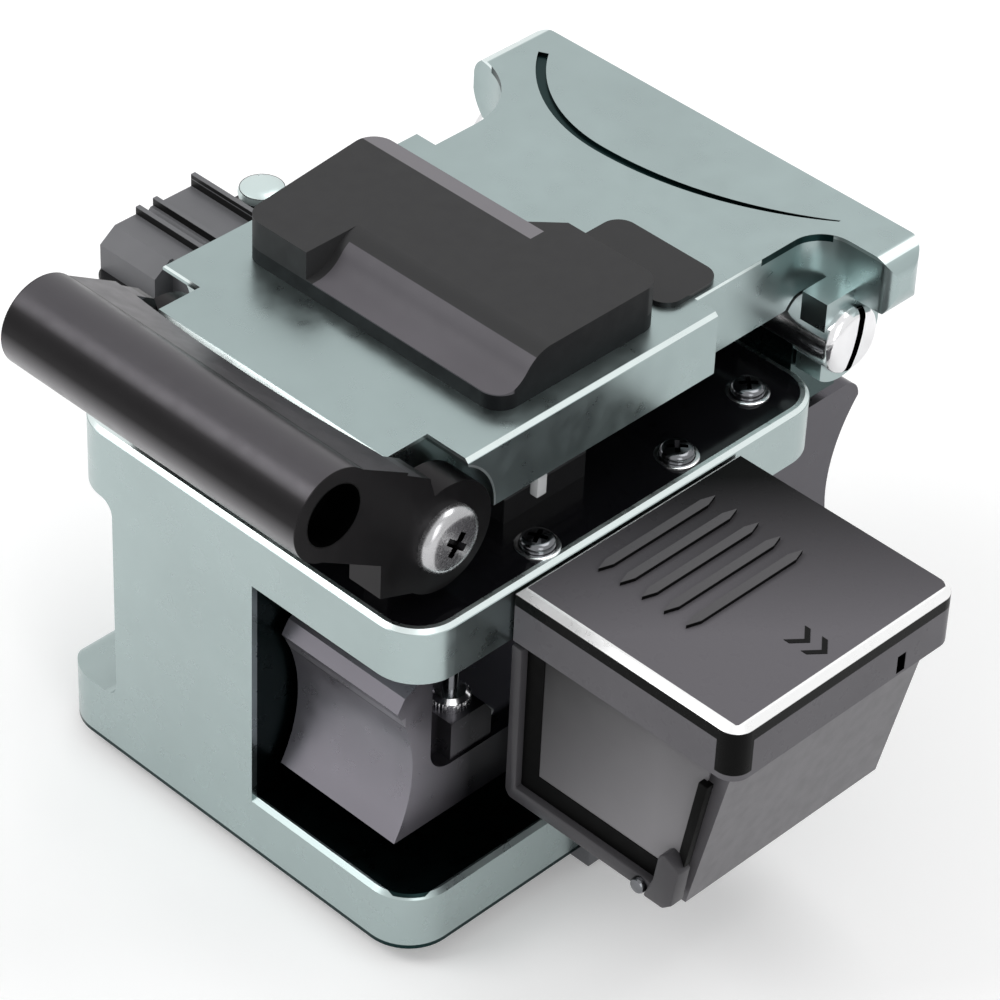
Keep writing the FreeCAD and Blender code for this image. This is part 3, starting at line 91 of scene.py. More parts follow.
class Finish:
    """One node material: a Principled shader fed by patterns on Object coordinates."""

    def __init__(self, name, colour, metallic, roughness):
        self.material = bpy.data.materials.new(name)
        self.material.use_nodes = True
        self.tree = self.material.node_tree
        self.shader = self.tree.nodes["Principled BSDF"]
        self.colour = (*colour, 1.0)
        self.shader.inputs["Base Color"].default_value = self.colour
        self.shader.inputs["Metallic"].default_value = metallic
        self.shader.inputs["Roughness"].default_value = roughness
        self.place = self.add("ShaderNodeTexCoord").outputs["Object"]
        self.tint = None

    def add(self, kind, **settings):
        node = self.tree.nodes.new(kind)
        for name, value in settings.items():
            setattr(node, name, value)
        return node

    def link(self, source, target):
        self.tree.links.new(source, target)

    def feed(self, socket, item):
        """Gives a socket a number, or what another socket holds."""
        if isinstance(item, bpy.types.NodeSocket):
            self.link(item, socket)
        else:
            socket.default_value = item

    # Patterns

    def noise(self, size_mm, detail=3.0, stretch=(1, 1, 1)):
        """Noise whose features are about size_mm across."""
        mapping = self.add("ShaderNodeMapping")
        mapping.inputs["Scale"].default_value = stretch
        self.link(self.place, mapping.inputs["Vector"])
        node = self.add("ShaderNodeTexNoise")
        node.inputs["Scale"].default_value = 1.0 / (size_mm * MM)
        node.inputs["Detail"].default_value = detail
        self.link(mapping.outputs["Vector"], node.inputs["Vector"])
        return node.outputs["Fac"]

    def ranged(self, value, low, high, from_low=0.3, from_high=0.7):
        node = self.add("ShaderNodeMapRange")
        for name, number in (("From Min", from_low), ("From Max", from_high),
                             ("To Min", low), ("To Max", high)):
            node.inputs[name].default_value = number
        self.link(value, node.inputs["Value"])
        return node.outputs["Result"]

    def maths(self, operation, first, second):
        node = self.add("ShaderNodeMath", operation=operation)
        for socket, item in zip(node.inputs, (first, second)):
            self.feed(socket, item)
        return node.outputs[0]

    def mean(self, first, second):
        return self.maths("MULTIPLY", self.maths("ADD", first, second), 0.5)

    # Areas: a factor of 1 inside and 0 outside, with levels in mm

    def axis_value(self, axis):
        split = self.add("ShaderNodeSeparateXYZ")
        self.link(self.place, split.inputs[0])
        return split.outputs["XYZ".index(axis)]

    def above(self, axis, level, soft=0.02):
        return self.ranged(self.axis_value(axis), 0.0, 1.0, (level - soft) * MM, (level + soft) * MM)

    def below(self, axis, level, soft=0.02):
        return self.outside(self.above(axis, level, soft))

    def between(self, axis, low, high):
        return self.maths("SUBTRACT", self.above(axis, low), self.above(axis, high))

    def inside(self, **ranges):
        """The area inside the named ranges, such as X=(low, high)."""
        result = None
        for axis, (low, high) in ranges.items():
            span = self.between(axis, low, high)
            result = span if result is None else self.both(result, span)
        return result

    def near(self, y, z, reach):
        """The area within reach of an axis that runs along X through the given Y and Z."""
        squares = []
        for axis, level in (("Y", y), ("Z", z)):
            off = self.maths("SUBTRACT", self.axis_value(axis), level * MM)
            squares.append(self.maths("MULTIPLY", off, off))
        away = self.maths("SQRT", self.maths("ADD", *squares), 0.0)
        return self.maths("LESS_THAN", away, reach * MM)

    def outside(self, area):
        return self.maths("SUBTRACT", 1.0, area)

    def both(self, first, second):
        return self.maths("MULTIPLY", first, second)

    def either(self, first, second):
        return self.maths("MAXIMUM", first, second)

    # What the patterns do to the surface

    def mixed(self, factor, first, second):
        """Colour between first and second; either can be a colour or a socket."""
        node = self.add("ShaderNodeMix", data_type="RGBA")
        for socket, item in ((node.inputs[6], first), (node.inputs[7], second)):
            self.feed(socket, item if isinstance(item, bpy.types.NodeSocket) else (*item[:3], 1.0))
        self.link(factor, node.inputs[0])
        return node.outputs[2]

    def paint(self, colour):
        self.tint = colour
        self.link(colour, self.shader.inputs["Base Color"])

    def cover(self, area, colour):
        """Another colour over an area."""
        self.paint(self.mixed(area, self.tint or self.colour, colour))

    def mottle(self, size_mm, amount):
        """Slow drift of the colour by amount."""
        darker = tuple(c * (1 - amount) for c in self.colour[:3])
        lighter = tuple(min(1.0, c * (1 + amount)) for c in self.colour[:3])
        factor = self.ranged(self.noise(size_mm), 0.0, 1.0)
        self.paint(self.mixed(factor, darker, lighter))

    def rough(self, value, low, high):
        self.link(self.ranged(value, low, high), self.shader.inputs["Roughness"])

    def gloss(self, level):
        self.shader.inputs["Specular IOR Level"].default_value = level

    def bump(self, height, depth_mm, strength):
        node = self.add("ShaderNodeBump")
        node.inputs["Strength"].default_value = strength
        node.inputs["Distance"].default_value = depth_mm * MM
        self.link(height, node.inputs["Height"])
        self.link(node.outputs["Normal"], self.shader.inputs["Normal"])


def satin_metal(name, colour, metallic, roughness, grain_mm=0.25):
    """Bead-blasted metal under an anodised colour."""
    finish = Finish(name, colour, metallic, roughness)
    finish.mottle(14.0, 0.04)
    finish.rough(finish.noise(2.5), roughness - 0.04, roughness + 0.05)
    finish.bump(finish.noise(grain_mm, 2.0), 0.003, 0.3)
    return finish


def moulded_plastic(name, colour, roughness, grain_mm=0.35, gloss=0.22):
    """Plastic with a spark-eroded grain and a faint drift of shade."""
    finish = Finish(name, colour, 0.0, roughness)
    finish.gloss(gloss)
    finish.mottle(9.0, 0.06)
    finish.rough(finish.noise(1.8), roughness - 0.05, roughness + 0.05)
    finish.bump(finish.noise(grain_mm, 2.0), 0.004, 0.4)
    return finish


def turned_steel(name, colour, roughness, stretch=(1, 1, 1)):
    """Machined steel with fine tool lines across the stretch direction and painted shade in its recesses."""
    finish = Finish(name, colour, 1.0, roughness)
    lines = finish.noise(0.3, 3.0, stretch)
    finish.rough(lines, roughness - 0.05, roughness + 0.08)
    finish.bump(lines, 0.003, 0.4)
    finish.mottle(4.0, 0.06)
    # Painted shade on the faces marked as recess.
    sunk = finish.add("ShaderNodeAttribute", attribute_name="recess")
    finish.cover(sunk.outputs["Fac"], RECESS_SHADE)
    return finish


def soft_rubber(name, colour):
    finish = Finish(name, colour, 0.0, 0.75)
    finish.mottle(3.0, 0.12)
    finish.bump(finish.noise(0.2, 4.0), 0.02, 0.6)
    return finish


def body_metal():
    """Green-grey anodised case with a painted highlight along its top edge, a painted shade line at its foot
    and painted shade in the bay inside.
    """
    finish = satin_metal("green_grey_body", METAL, 1.0, 0.29)
    (_, front, foot), (right, rear, _) = box_mm("body_frame")
    edge_highlight_depth, foot_shade_height, skin = 0.42, 0.5, 0.75
    # Painted highlight along the top edge.
    finish.cover(finish.above("Z", DECK_TOP - edge_highlight_depth), EDGE_HIGHLIGHT)
    # Painted shade: a dark teal line at the foot of the case.
    finish.cover(finish.between("Z", foot - 1.0, foot + foot_shade_height), TEAL_SHADE)
    # Painted shade: near black inside the bay, where little light reaches.
    bay_left, bay_floor, bay_roof = low_end("carriage", "X") - 0.95, foot + 7.2, DECK_TOP - 7.0
    bay = finish.inside(X=(bay_left, right - skin), Z=(bay_floor, bay_roof),
                        Y=(front + skin, rear - skin))
    finish.cover(bay, (0.008, 0.018, 0.018))
    return finish


def lid_metal():
    """The same metal on the lid: painted highlight along its top edge, painted highlight ring and painted
    shade for a round relief by the lever, painted shade in the arc groove.
    """
    finish = satin_metal("green_grey_lid", LID_METAL, 1.0, 0.30)
    under_top = LID_TOP - 0.03
    # Painted highlight along the top edge.
    finish.cover(finish.between("Z", LID_TOP - 0.45, under_top), EDGE_HIGHLIGHT)
    lug_low, lug_high = box_mm("lever_screws")
    pivot_y, pivot_z = ((lug_low[i] + lug_high[i]) / 2 for i in (1, 2))
    right_side = finish.above("X", high_end("lid_plate", "X") - 0.03)
    # Painted highlight ring, with painted shade inside it, for a round relief about the lever's pivot.
    for reach, colour in ((7.75, (0.75, 0.83, 0.82)), (7.45, (0.003, 0.004, 0.004))):
        finish.cover(finish.both(finish.near(pivot_y, pivot_z, reach), right_side), colour)
    (left, _, _), (right, rear, _) = box_mm("lid_saddle")
    groove = finish.inside(X=(left + 3.2, right - 8.0), Y=(rear - 15.6, rear - 3.4),
                           Z=(LID_TOP - 0.9, under_top))
    # Painted shade in the arc groove.
    finish.cover(groove, TEAL_SHADE)
    return finish


def cap_print():
    """Grey moulding with a black print over its top and slope, a painted highlight band near its rear edge,
    and a bare thumb pad.
    """
    finish = moulded_plastic("cap_plastic", (0.112, 0.106, 0.117), 0.50, gloss=0.15)
    print_black, wall_black, rear_highlight_grey = (0.034, 0.034, 0.035), (0.003, 0.003, 0.004), (0.200, 0.192, 0.205)
    (left, front, _), (right, rear, _) = box_mm("lid_cap")
    foot_edge, side_skin = LID_TOP + 1.85, 0.04
    thumb_pad = finish.inside(X=(left + 12.4, right + 1), Y=(front - 1, front + 8.3),
                              Z=(LID_TOP + 1.8, CAP_TOP - 0.6))
    finish.cover(finish.outside(thumb_pad), print_black)
    # Painted highlight: a lighter grey band near the rear of the top.
    strip = finish.inside(X=(left - 1, left + 25.2), Y=(rear - 5.0, rear - 3.0),
                          Z=(CAP_TOP - 0.05, CAP_TOP + 1))
    finish.cover(strip, rear_highlight_grey)
    finish.cover(finish.below("Z", foot_edge), wall_black)
    sides = finish.either(finish.above("X", right - side_skin), finish.below("X", left + side_skin))
    finish.cover(sides, wall_black)
    return finish


def rocker_rim():
    """Dark glossy lid with a painted reflection across its top, painted highlights on its rib tops and on
    the bevel round its top edge, and painted shade in a band under that bevel, at its front right corner and
    in a side slot.
    """
    finish = moulded_plastic("rocker_plastic", (0.132, 0.128, 0.138), 0.30, gloss=0.06)
    (left, front, under), (right, rear, crown) = box_mm("rocker_lid")
    band_low, band_high, bevel_low = DECK_TOP - 2.1, DECK_TOP - 0.66, DECK_TOP - 0.68
    # Painted reflection: the flat top drifts from near black to grey across it.
    along = finish.ranged(finish.axis_value("X"), 0.0, 1.0, left * MM, right * MM)
    forward = finish.ranged(finish.axis_value("Y"), 0.0, 1.0, rear * MM, front * MM)
    drift = finish.ranged(finish.mean(along, forward), 0.0, 1.0, 0.10, 0.66)
    flat = finish.between("Z", DECK_TOP - 0.05, DECK_TOP + 0.02)
    finish.cover(flat, finish.mixed(drift, NEAR_BLACK_AND_SHADE, (0.140, 0.134, 0.146)))
    # Rib sides black; rib tops grey as a painted highlight.
    rib_sides, rib_top_highlight = finish.above("Z", DECK_TOP + 0.03), finish.above("Z", crown - 0.06)
    finish.cover(rib_sides, NEAR_BLACK_AND_SHADE)
    finish.cover(rib_top_highlight, (0.100, 0.098, 0.102))
    # Painted shade: a black band under the rim.
    finish.cover(finish.between("Z", band_low, band_high), PAINTED_SHADE_BLACK)
    # Painted shade at the front right corner of the skirt.
    corner_shade = finish.inside(X=(right - 2.6, right + 1), Y=(front - 1, front + 2.6),
                                Z=(under + 0.7, band_high))
    finish.cover(corner_shade, PAINTED_SHADE_BLACK)
    # Painted shade of a slot in the right side.
    side_slot_shade = finish.inside(X=(right - 4.0, right - 0.04), Y=(6.6, 8.7), Z=(under + 0.1, under + 2.8))
    finish.cover(side_slot_shade, PAINTED_SHADE_BLACK)
    # Painted highlight: near white and half metallic on the bevel round the top edge and on the outer edge
    # above it.
    middle = finish.inside(X=(left - 1.0, right - 1.0), Y=(front + 1.0, rear + 1.0))
    outer = finish.both(finish.outside(middle), finish.above("Z", bevel_low))
    rim = finish.either(finish.between("Z", bevel_low, DECK_TOP - 0.03), outer)
    finish.cover(rim, (0.93, 0.93, 0.93))
    finish.link(finish.maths("MULTIPLY", rim, 0.5), finish.shader.inputs["Metallic"])
    return finish


def smoked_glass():
    """Smoked window with painted shade that makes it darker towards its upper left."""
    finish = Finish("smoked_window", (0.16, 0.155, 0.165), 0.0, 0.40)
    finish.gloss(0.2)
    (left, _, under), (_, _, top) = box_mm("scrap_bin")
    along = finish.ranged(finish.axis_value("X"), 0.0, 1.0, (left + 3) * MM, (left + 20) * MM)
    down = finish.ranged(finish.axis_value("Z"), 0.0, 1.0, (top - 5) * MM, (under + 1) * MM)
    # Painted shade: near black at the upper left to grey at the lower right.
    finish.paint(finish.mixed(finish.mean(along, down), NEAR_BLACK_AND_SHADE, (0.270, 0.263, 0.276)))
    finish.rough(finish.noise(3.0), 0.34, 0.46)
    return finish


def carriage_metal():
    """Graphite slide with painted shade on its right side and rear, a painted shade line under its front lip
    and a painted highlight on the lip.
    """
    finish = satin_metal("graphite_carriage", (0.215, 0.205, 0.232), 0.75, 0.30)
    front, right = low_end("carriage", "Y"), high_end("carriage", "X")
    # Painted shade along the right side.
    along = finish.both(finish.above("Y", front + 6.5, 4.5), finish.below("Y", 0.0, 4.0))
    finish.cover(finish.both(finish.above("X", right - 2.6, 0.4), along), (0.006, 0.006, 0.008))
    # Painted shade towards the rear.
    finish.cover(finish.above("Y", 22.0, 6.0), (0.090, 0.086, 0.098))
    face = front - 1, front + 1.2
    shade_line_low, lip_low, lip_high = 28.0, 28.9, 30.2
    # Painted shade: a dark line under the front lip.
    finish.cover(finish.inside(Y=face, Z=(shade_line_low, lip_low)), (0.010, 0.010, 0.012))
    # Painted highlight on the front lip.
    finish.cover(finish.inside(Y=face, Z=(lip_low, lip_high)), (0.33, 0.32, 0.35))
    return finish


def holder_print():
    """Grey holder block with black fins whose tops are bare."""
    finish = moulded_plastic("holder_plastic", (0.160, 0.161, 0.170), 0.42)
    fin_top = high_end("fibre_holder", "Z")
    block_top = fin_top - 1.6
    finish.cover(finish.between("Z", block_top + 0.05, block_top + 0.93), NEAR_BLACK_AND_SHADE)
    finish.cover(finish.between("Z", block_top + 1.05, fin_top - 0.06), NEAR_BLACK_AND_SHADE)
    return finish


def lever_metal():
    """Black anodised lever with painted highlights above the dark band along the bar, towards its underside
    and on its web, and painted shade in its bore.
    """
    finish = satin_metal("black_anodised_lever", (0.012, 0.011, 0.012), 0.80, 0.32, 0.2)
    (left, front, _), (right, _, top) = box_mm("release_lever")
    bar_rear, bar_middle, bore = front + 9.2, 5.2, 3.6
    # Painted highlights: along the crest, on the lower front of the bar and on the web.
    crest_highlight = finish.above("Z", top - 1.0, 0.7)
    under = finish.both(finish.below("Y", bar_rear, 1.0), finish.below("Z", top - 5.4, 1.3))
    web_highlight = finish.inside(Y=(bar_rear, bar_rear + 14), Z=(top - 7.0, top))
    between_ends = finish.inside(X=(left + 0.1, right - 0.1))
    for band, colour in ((crest_highlight, (0.080, 0.076, 0.083)), (under, (0.180, 0.175, 0.183)),
                         (web_highlight, (0.085, 0.081, 0.089))):
        finish.cover(finish.both(band, between_ends), colour)
    # Painted shade in the bore.
    finish.cover(finish.near(front + bar_middle, top - bar_middle, bore), PAINTED_SHADE_BLACK)
    return finish


body_finish = body_metal()
lid_finish = lid_metal()
lever_finish = lever_metal()
mount_finish = satin_metal("black_gloss_mounts", (0.008, 0.008, 0.009), 0.0, 0.22, 0.3)
# Painted shade: the hinge block is a darker copy of the case's teal metal, as if always in shadow.
hinge_shade_finish = satin_metal("hinge_block_painted_shade", (0.035, 0.060, 0.060), 1.0, 0.26)
deck_finish = satin_metal("black_deck", (0.004, 0.004, 0.005), 0.0, 0.12, 0.8)
carriage_finish = carriage_metal()
chrome_finish = turned_steel("polished_screw", (0.78, 0.78, 0.79), 0.16)
pivot_finish = turned_steel("pivot_screw", (0.46, 0.46, 0.47), 0.24)
screw_finish = turned_steel("dark_screw", (0.16, 0.165, 0.175), 0.16)
rail_finish = turned_steel("ground_rail", (0.50, 0.50, 0.52), 0.26, (4, 0.2, 4))
blade_finish = turned_steel("ground_wheel", (0.62, 0.62, 0.64), 0.18)
pad_finish = soft_rubber("clamp_rubber", (0.016, 0.016, 0.017))
foot_finish = soft_rubber("foot_rubber", (0.012, 0.012, 0.013))
holder_finish = holder_print()
bin_finish = moulded_plastic("bin_plastic", (0.122, 0.118, 0.127), 0.34)
ring_finish = moulded_plastic("bin_ring", (0.060, 0.058, 0.063), 0.34)
frame_finish = moulded_plastic("bin_front_black", (0.002, 0.002, 0.002), 0.50, gloss=0.05)
label_finish = moulded_plastic("label_print", (0.012, 0.012, 0.013), 0.22, 0.2, 0.30)
mark_finish = moulded_plastic("black_mark", (0.002, 0.002, 0.002), 0.40, 0.2, 0.10)
pale_finish = satin_metal("pale_cap", (0.62, 0.72, 0.71), 0.6, 0.30)
tab_finish = moulded_plastic("pale_stop", (0.62, 0.63, 0.64), 0.35)
cap_finish = cap_print()
rocker_finish = rocker_rim()
window_finish = smoked_glass()

FINISHES = {
    # case and deck
    "body_frame": body_finish, "deck_frame": body_finish, "deck_plate": deck_finish,
    "deck_screws": screw_finish, "base_pad": foot_finish,
    "hinge_block": hinge_shade_finish, "hinge_screws": chrome_finish,
    # lid and clamps
    "lid_plate": lid_finish, "lid_saddle": lid_finish, "lid_cap": cap_finish, "label_plate": label_finish,
    "lower_clamp_blocks": mount_finish, "lower_clamp_pads": pad_finish, "anvil": pad_finish,
    "upper_clamp_pads": pad_finish, "upper_clamp_holder": mount_finish,
    # lever
    "lever_lug_left": mount_finish, "lever_lug_right": mount_finish,
    "lever_screws": chrome_finish, "release_lever": lever_finish,
    # carriage and blade
    "linear_rail": rail_finish, "rail_screws": screw_finish, "bearing_block": rail_finish,
    "carriage": carriage_finish, "blade_holder": carriage_finish, "blade_axle": screw_finish,
    "blade_wheel": blade_finish, "height_screw": chrome_finish,
    # fibre holder and scrap bin
    "holder_shelf": mount_finish, "fibre_holder": holder_finish,
    "scrap_bin": bin_finish, "bin_window": window_finish, "bin_bracket": screw_finish,
    "rocker_lid": rocker_finish,
}
for node_name, node_finish in FINISHES.items():
    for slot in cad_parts[node_name].material_slots:
        slot.material = node_finish.material


# ---------------------------------------------------------------- shapes, in mm


def kept(name, mesh, finish, body):
    """A finished piece from a mesh in metres, riding on a body."""
    mesh.shade_smooth()
    mesh.set_sharp_from_angle(angle=SHARP_ANGLE)
    mesh.materials.clear()
    mesh.materials.append(finish.material)
    piece = bpy.data.objects.new(name, mesh)
    scene.collection.objects.link(piece)
    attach(piece, body)
    return piece


def closed_mesh(name, work):
    """A bmesh in mm as a mesh in metres, with its doubles merged and its faces outwards."""
    bmesh.ops.remove_doubles(work, verts=work.verts, dist=1e-5)
    bmesh.ops.recalc_face_normals(work, faces=work.faces)
    bmesh.ops.scale(work, vec=(MM, MM, MM), verts=work.verts)
    return plain_mesh(name, work)


def plain_mesh(name, work):
    mesh = bpy.data.meshes.new(name)
    work.to_mesh(mesh)
    work.free()
    return mesh


def evaluated_mesh(holder):
    """What an object's modifiers make, as a mesh of its own."""
    return bpy.data.meshes.new_from_object(holder.evaluated_get(bpy.context.evaluated_depsgraph_get()))


def rectangle(u0, v0, u1, v1):
    return [(u0, v0), (u1, v0), (u1, v1), (u0, v1)]


def lathe(work, profile, turns, place=None):
    """A closed turned solid about Z from (radius, z) points, bottom to top."""
    rings = []
    for radius, z in profile:
        if radius < 1e-6:
            rings.append([work.verts.new((0, 0, z))])
        else:
            rings.append([work.verts.new((radius * math.cos(a), radius * math.sin(a), z))
                          for a in (2 * math.pi * i / turns for i in range(turns))])
    for low, high in zip(rings, rings[1:]):
        for i in range(turns):
            j = (i + 1) % turns
            corners = [low[i % len(low)], low[j % len(low)], high[j % len(high)], high[i % len(high)]]
            unique = list(dict.fromkeys(corners))
            if len(unique) > 2:
                work.faces.new(unique)
    if place is not None:
        bmesh.ops.transform(work, matrix=place, verts=[v for ring in rings for v in ring])


def slab(work, outline, axis, low, high, bevel=0.0):
    """A plate with the given outline, between two levels of an axis."""
    order = {"X": lambda u, v, w: (w, u, v), "Y": lambda u, v, w: (u, w, v),
             "Z": lambda u, v, w: (u, v, w)}[axis]
    shape = bmesh.new()
    verts = [shape.verts.new(order(u, v, low)) for u, v in outline]
    edges = [shape.edges.new((vert, verts[(i + 1) % len(verts)])) for i, vert in enumerate(verts)]
    bmesh.ops.triangle_fill(shape, use_beauty=True, edges=edges)
    bmesh.ops.dissolve_limit(shape, angle_limit=0.01, verts=shape.verts, edges=shape.edges)
    grown = bmesh.ops.extrude_face_region(shape, geom=list(shape.faces))["geom"]
    bmesh.ops.translate(shape, vec=Vector(order(0, 0, high - low)),
                        verts=[g for g in grown if isinstance(g, bmesh.types.BMVert)])
    bmesh.ops.recalc_face_normals(shape, faces=shape.faces)
    if bevel:
        keen = [e for e in shape.edges if len(e.link_faces) == 2 and e.calc_face_angle(0) > 0.6]
        bmesh.ops.bevel(shape, geom=keen, offset=bevel, segments=2, affect="EDGES", profile=0.5)
    mesh = plain_mesh("slab", shape)
    work.from_mesh(mesh)
    bpy.data.meshes.remove(mesh)


def plate_piece(name, outline, axis, levels, finish, body, bevel=0.0):
    """A slab as a piece of its own."""
    work = bmesh.new()
    slab(work, outline, axis, *levels, bevel)
    return kept(name, closed_mesh(name, work), finish, body)


def turned_piece(name, profile, place, finish, body, turns=40):
    """A turned solid as a piece of its own."""
    work = bmesh.new()
    lathe(work, profile, turns, place)
    return kept(name, closed_mesh(name, work), finish, body)


def solids_in(node_name):
    """Low and high corners of each separate solid of a node, from left to right."""
    work = bmesh.new()
    work.from_mesh(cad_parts[node_name].data)
    bmesh.ops.remove_doubles(work, verts=work.verts, dist=1e-6)
    left, boxes = set(work.verts), []
    while left:
        heap, group = [left.pop()], []
        while heap:
            vert = heap.pop()
            group.append(vert.co / MM)
            for edge in vert.link_edges:
                other = edge.other_vert(vert)
                if other in left:
                    left.remove(other)
                    heap.append(other)
        boxes.append((Vector([min(c[i] for c in group) for i in range(3)]),
                      Vector([max(c[i] for c in group) for i in range(3)])))
    work.free()
    return sorted(boxes, key=lambda box: tuple(box[0]))


def carved(work, cutters):
    """The shape less each cutter; all are bmeshes."""
    holders = []
    for shape in (work, *cutters):
        bmesh.ops.recalc_face_normals(shape, faces=shape.faces)
        holder = bpy.data.objects.new("blank", plain_mesh("blank", shape))
        scene.collection.objects.link(holder)
        holders.append(holder)
    blank = holders[0]
    for cutter in holders[1:]:
        modifier = blank.modifiers.new("cut", "BOOLEAN")
        modifier.operation, modifier.solver, modifier.object = "DIFFERENCE", "EXACT", cutter
    result = bmesh.new()
    result.from_mesh(evaluated_mesh(blank))
    for holder in holders:
        bpy.data.objects.remove(holder)
    return result


def repeat_tree():
    """Copies of one shape on points, turned to each point's facing and along directions."""
    tree = bpy.data.node_groups.new("repeat_on_points", "GeometryNodeTree")
    inputs = {}
    for name, kind in (("Points", "Geometry"), ("Shape", "Object"), ("Size", "Float"),
                       ("Turn Spread", "Float"), ("Seed", "Int"), ("Finish", "Material")):
        inputs[name] = tree.interface.new_socket(name=name, in_out="INPUT",
                                                 socket_type="NodeSocket" + kind).identifier
    tree.interface.new_socket(name="Result", in_out="OUTPUT", socket_type="NodeSocketGeometry")
    add = tree.nodes.new
    start, end = add("NodeGroupInput"), add("NodeGroupOutput")
    shape, place = add("GeometryNodeObjectInfo"), add("GeometryNodeInstanceOnPoints")
    spin, turn = add("FunctionNodeRandomValue"), add("GeometryNodeRotateInstances")
    bring, coat = add("GeometryNodeRealizeInstances"), add("GeometryNodeSetMaterial")
    join, low = add("ShaderNodeCombineXYZ"), add("ShaderNodeMath")
    low.operation = "MULTIPLY"
    low.inputs[1].default_value = -1.0
    aim = []
    for name, axis, pivot in (("facing", "Z", "AUTO"), ("along", "X", "Z")):
        read, align = add("GeometryNodeInputNamedAttribute"), add("FunctionNodeAlignRotationToVector")
        read.data_type = "FLOAT_VECTOR"
        read.inputs["Name"].default_value = name
        align.axis, align.pivot_axis = axis, pivot
        tree.links.new(read.outputs["Attribute"], align.inputs["Vector"])
        aim.append(align)
    given = start.outputs
    for source, target in (
            (aim[0].outputs[0], aim[1].inputs["Rotation"]), (aim[1].outputs[0], place.inputs["Rotation"]),
            (given["Points"], place.inputs["Points"]), (given["Shape"], shape.inputs["Object"]),
            (shape.outputs["Geometry"], place.inputs["Instance"]), (given["Size"], place.inputs["Scale"]),
            (given["Turn Spread"], low.inputs[0]), (low.outputs[0], spin.inputs[2]),
            (given["Turn Spread"], spin.inputs[3]), (given["Seed"], spin.inputs["Seed"]),
            (spin.outputs[1], join.inputs["Z"]), (join.outputs[0], turn.inputs["Rotation"]),
            (place.outputs[0], turn.inputs[0]), (turn.outputs[0], bring.inputs[0]),
            (bring.outputs[0], coat.inputs[0]), (given["Finish"], coat.inputs["Material"]),
            (coat.outputs[0], end.inputs[0])):
        tree.links.new(source, target)
    return tree, inputs


REPEAT, REPEAT_INPUTS = repeat_tree()


def repeated(name, shape, places, finish, body, spread=0.0, seed=1):
    """One plain mesh of a shape (a bmesh, +Z outwards) set at each (place, facing, along)."""
    source = bpy.data.objects.new("repeated_shape", closed_mesh("repeated_shape", shape))
    points = bpy.data.meshes.new("points")
    points.from_pydata([tuple(Vector(point) * MM) for point, _, _ in places], [], [])
    for index, attribute in ((1, "facing"), (2, "along")):
        layer = points.attributes.new(attribute, "FLOAT_VECTOR", "POINT")
        for item, value in zip(places, layer.data):
            value.vector = item[index]
    holder = bpy.data.objects.new("holder", points)
    for thing in (source, holder):
        scene.collection.objects.link(thing)
    modifier = holder.modifiers.new("repeat", "NODES")
    modifier.node_group = REPEAT
    for key, value in (("Shape", source), ("Size", 1.0), ("Turn Spread", spread), ("Seed", seed),
                       ("Finish", finish.material)):
        modifier[REPEAT_INPUTS[key]] = value
    mesh = evaluated_mesh(holder)
    holder.modifiers.clear()
    for thing in (source, holder):
        bpy.data.objects.remove(thing)
    mesh.name = name
    return kept(name, mesh, finish, body)


def around(count):
    """Cosine and sine of even steps round a circle."""
    for i in range(count):
        angle = 2 * math.pi * i / count
        yield math.cos(angle), math.sin(angle)


# ---------------------------------------------------------------- screws


def dome(radius, height, rim=0.25, steps=6):
    """Profile of a pan head: straight skirt, round shoulder, slightly crowned face."""
    shoulder = min(height * 0.7, radius * 0.35)
    points = [(0.0, 0.0), (radius - rim * 0.3, 0.0), (radius, rim * 0.3), (radius, height - shoulder)]
    for i in range(1, steps + 1):
        a = math.pi / 2 * i / steps
        points.append((radius - shoulder * (1 - math.cos(a)),
                       height - shoulder + shoulder * 0.86 * math.sin(a)))
    face = points[-1][0]
    points += [(face * 0.5, height - shoulder * 0.03), (0.0, height)]
    return points


def cross_cut(length, width, depth, height):
    """Tapered cross for a driver, sunk from the head's face."""
    cuts = []
    bar = rectangle(-length / 2, -width / 2, length / 2, width / 2)
    for corners in (bar, [(-v, u) for u, v in bar]):
        cutter = bmesh.new()
        low = [cutter.verts.new((u * 0.55, v * 0.8, height - depth)) for u, v in corners]
        high = [cutter.verts.new((u * 1.1, v * 1.1, height + 0.3)) for u, v in corners]
        cutter.faces.new(low)
        cutter.faces.new(high)
        for i in range(4):
            cutter.faces.new((low[i], low[(i + 1) % 4], high[(i + 1) % 4], high[i]))
        cuts.append(cutter)
    return cuts


def recess_marked(head, sunk):
    """Marks the sunk faces of a head, which the steel finishes darken with painted shade."""
    layer = head.faces.layers.float.new("recess")
    for face in head.faces:
        if sunk(face.calc_center_median()):
            face[layer] = 1.0
    return head


def pan_head(radius, height, cut_length, cut_width, depth, turns=40):
    """Head with a cross recess."""
    head = bmesh.new()
    lathe(head, dome(radius, height), turns)
    head = carved(head, cross_cut(cut_length, cut_width, depth, height))
    return recess_marked(head, lambda middle: middle.xy.length < cut_length * 0.62
                         and 0.05 < middle.z < height - 0.12)


def slotted_head(radius, height, slot_width, depth, turns=48):
    """Head with a slot right across."""
    head, cutter = bmesh.new(), bmesh.new()
    lathe(head, dome(radius, height, 0.3), turns)
    slab(cutter, rectangle(-radius * 1.2, -slot_width / 2, radius * 1.2, slot_width / 2), "Z",
         height - depth, height + 1)
    head = carved(head, [cutter])
    return recess_marked(head, lambda middle: abs(middle.y) <= slot_width / 2 + 0.01
                         and middle.z > 0.1 and abs(middle.x) < radius - 0.1)


